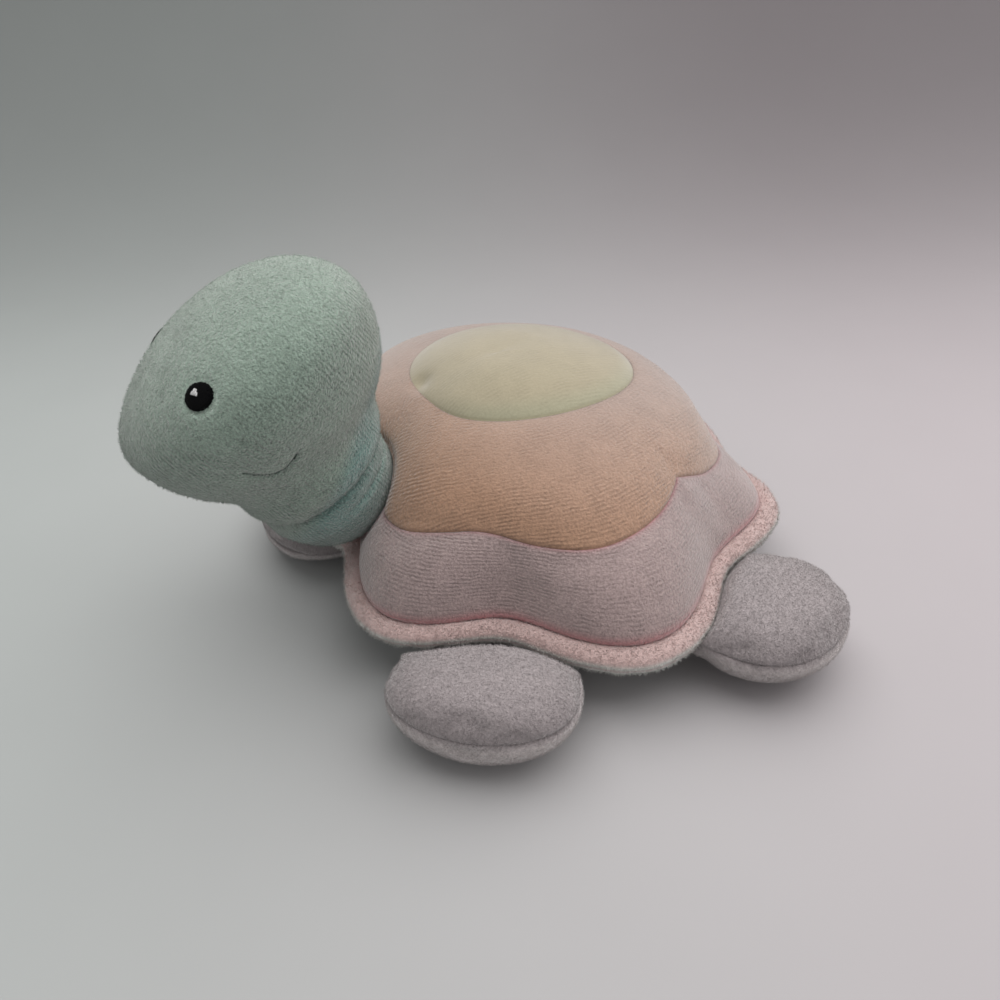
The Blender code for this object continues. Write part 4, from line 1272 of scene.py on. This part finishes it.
# Paper of the floor, with painted light and shade: darker far behind and behind on the right as painted
# shadow, and cooler and a little darker to the left of the camera's view as painted shade
def floorPaper(back, beside):
    bolt = Bolt("floorPaper")
    spot = bolt.place()
    x, y, _ = bolt.split(spot)
    away = x * float(back[0]) + y * float(back[1])
    leftward = x * float(beside[0]) + y * float(beside[1])
    (strong, *far), (weak, *near) = studio["farShadow"], studio["rightShadow"]
    right = 1.0 - leftward.step(*studio["rightSide"])
    behind = 1.0 - strong * away.step(*far) - weak * away.step(*near) * right
    mottle = 0.98 + bolt.noise(spot, studio["mottleScale"], 2.0) * studio["mottle"]
    light = mottle * behind
    # Painted shade: the floor is cooler and a little darker to the left
    leftShare = leftward.step(*studio["leftSide"])
    colour = bolt.blend(leftShare, paint(*studio["floor"]), paint(*studio["floorLeftShade"]))
    bolt.set(Base_Color=bolt.shaded(colour, light), Roughness=0.8, Specular_IOR_Level=0.2)
    return bolt.material


# Floor that rises behind in a quarter circle: straight out, round by the angle, then straight up
def makeFloor():
    back = unit(np.array(camera["forward"]) * (1, 1, 0))
    beside = np.array([-back[1], back[0], 0.0])
    curve = np.linspace(0, math.pi / 2, 24)
    radius, start = studio["sweep"], studio["floorBack"]
    out = np.concatenate([[studio["front"]], start + radius * np.sin(curve), [start + radius]])[:, None, None]
    rise = np.concatenate([[0], radius * (1 - np.cos(curve)), [studio["wall"]]])[:, None, None]
    across = np.linspace(-studio["half"], studio["half"], 12)[:, None]
    grid = back * out + upwards * rise + beside * across
    index = np.arange(grid.size // 3).reshape(grid.shape[:2])
    faces = np.stack([index[:-1, :-1], index[1:, :-1], index[1:, 1:], index[:-1, 1:]], axis=-1).reshape(-1, 4)
    mesh = bpy.data.meshes.new("studioFloor")
    mesh.from_pydata((grid * toMetres).reshape(-1, 3).tolist(), [], faces.tolist())
    mesh.polygons.foreach_set("use_smooth", np.ones(len(faces), bool))
    mesh.materials.append(floorPaper(back, beside))
    placed("studioFloor", mesh)


# Soft round lamp at its place, turned towards the toy
def makeLamp(name, look):
    lamp = bpy.data.lights.new(name, "AREA")
    lamp.energy, lamp.size, lamp.color, lamp.shape = look["power"], look["size"], look["colour"], "DISK"
    holder = placed(name, lamp)
    holder.location = look["place"]
    holder.rotation_euler = (Vector(studio["aim"]) - holder.location).to_track_quat("-Z", "Y").to_euler()


# Camera as it was fitted to the photograph: its three directions are the columns of its turn
def makeCamera():
    lens = bpy.data.cameras.new("camera")
    lens.lens, lens.sensor_width = camera["lens"], camera["sensor"]
    lens.clip_start, lens.clip_end = camera["near"], camera["far"]
    holder = placed("camera", lens)
    turned = Matrix((Vector(camera["right"]), Vector(camera["up"]), -Vector(camera["forward"]))).transposed()
    holder.matrix_world = Matrix.Translation(Vector(camera["place"])) @ turned.to_4x4()
    bpy.context.scene.camera = holder


makeFloor()
makeLamp("keyLight", studio["key"])
makeLamp("fillLight", studio["fill"])
makeCamera()
world = bpy.data.worlds.new("studioWorld")
world.use_nodes = True
world.node_tree.nodes["Background"].inputs["Color"].default_value = paint(1.0, 1.0, 1.0)
world.node_tree.nodes["Background"].inputs["Strength"].default_value = studio["world"]
bpy.context.scene.world = world
bpy.context.scene.view_settings.view_transform = "Standard"
print("studio ready")
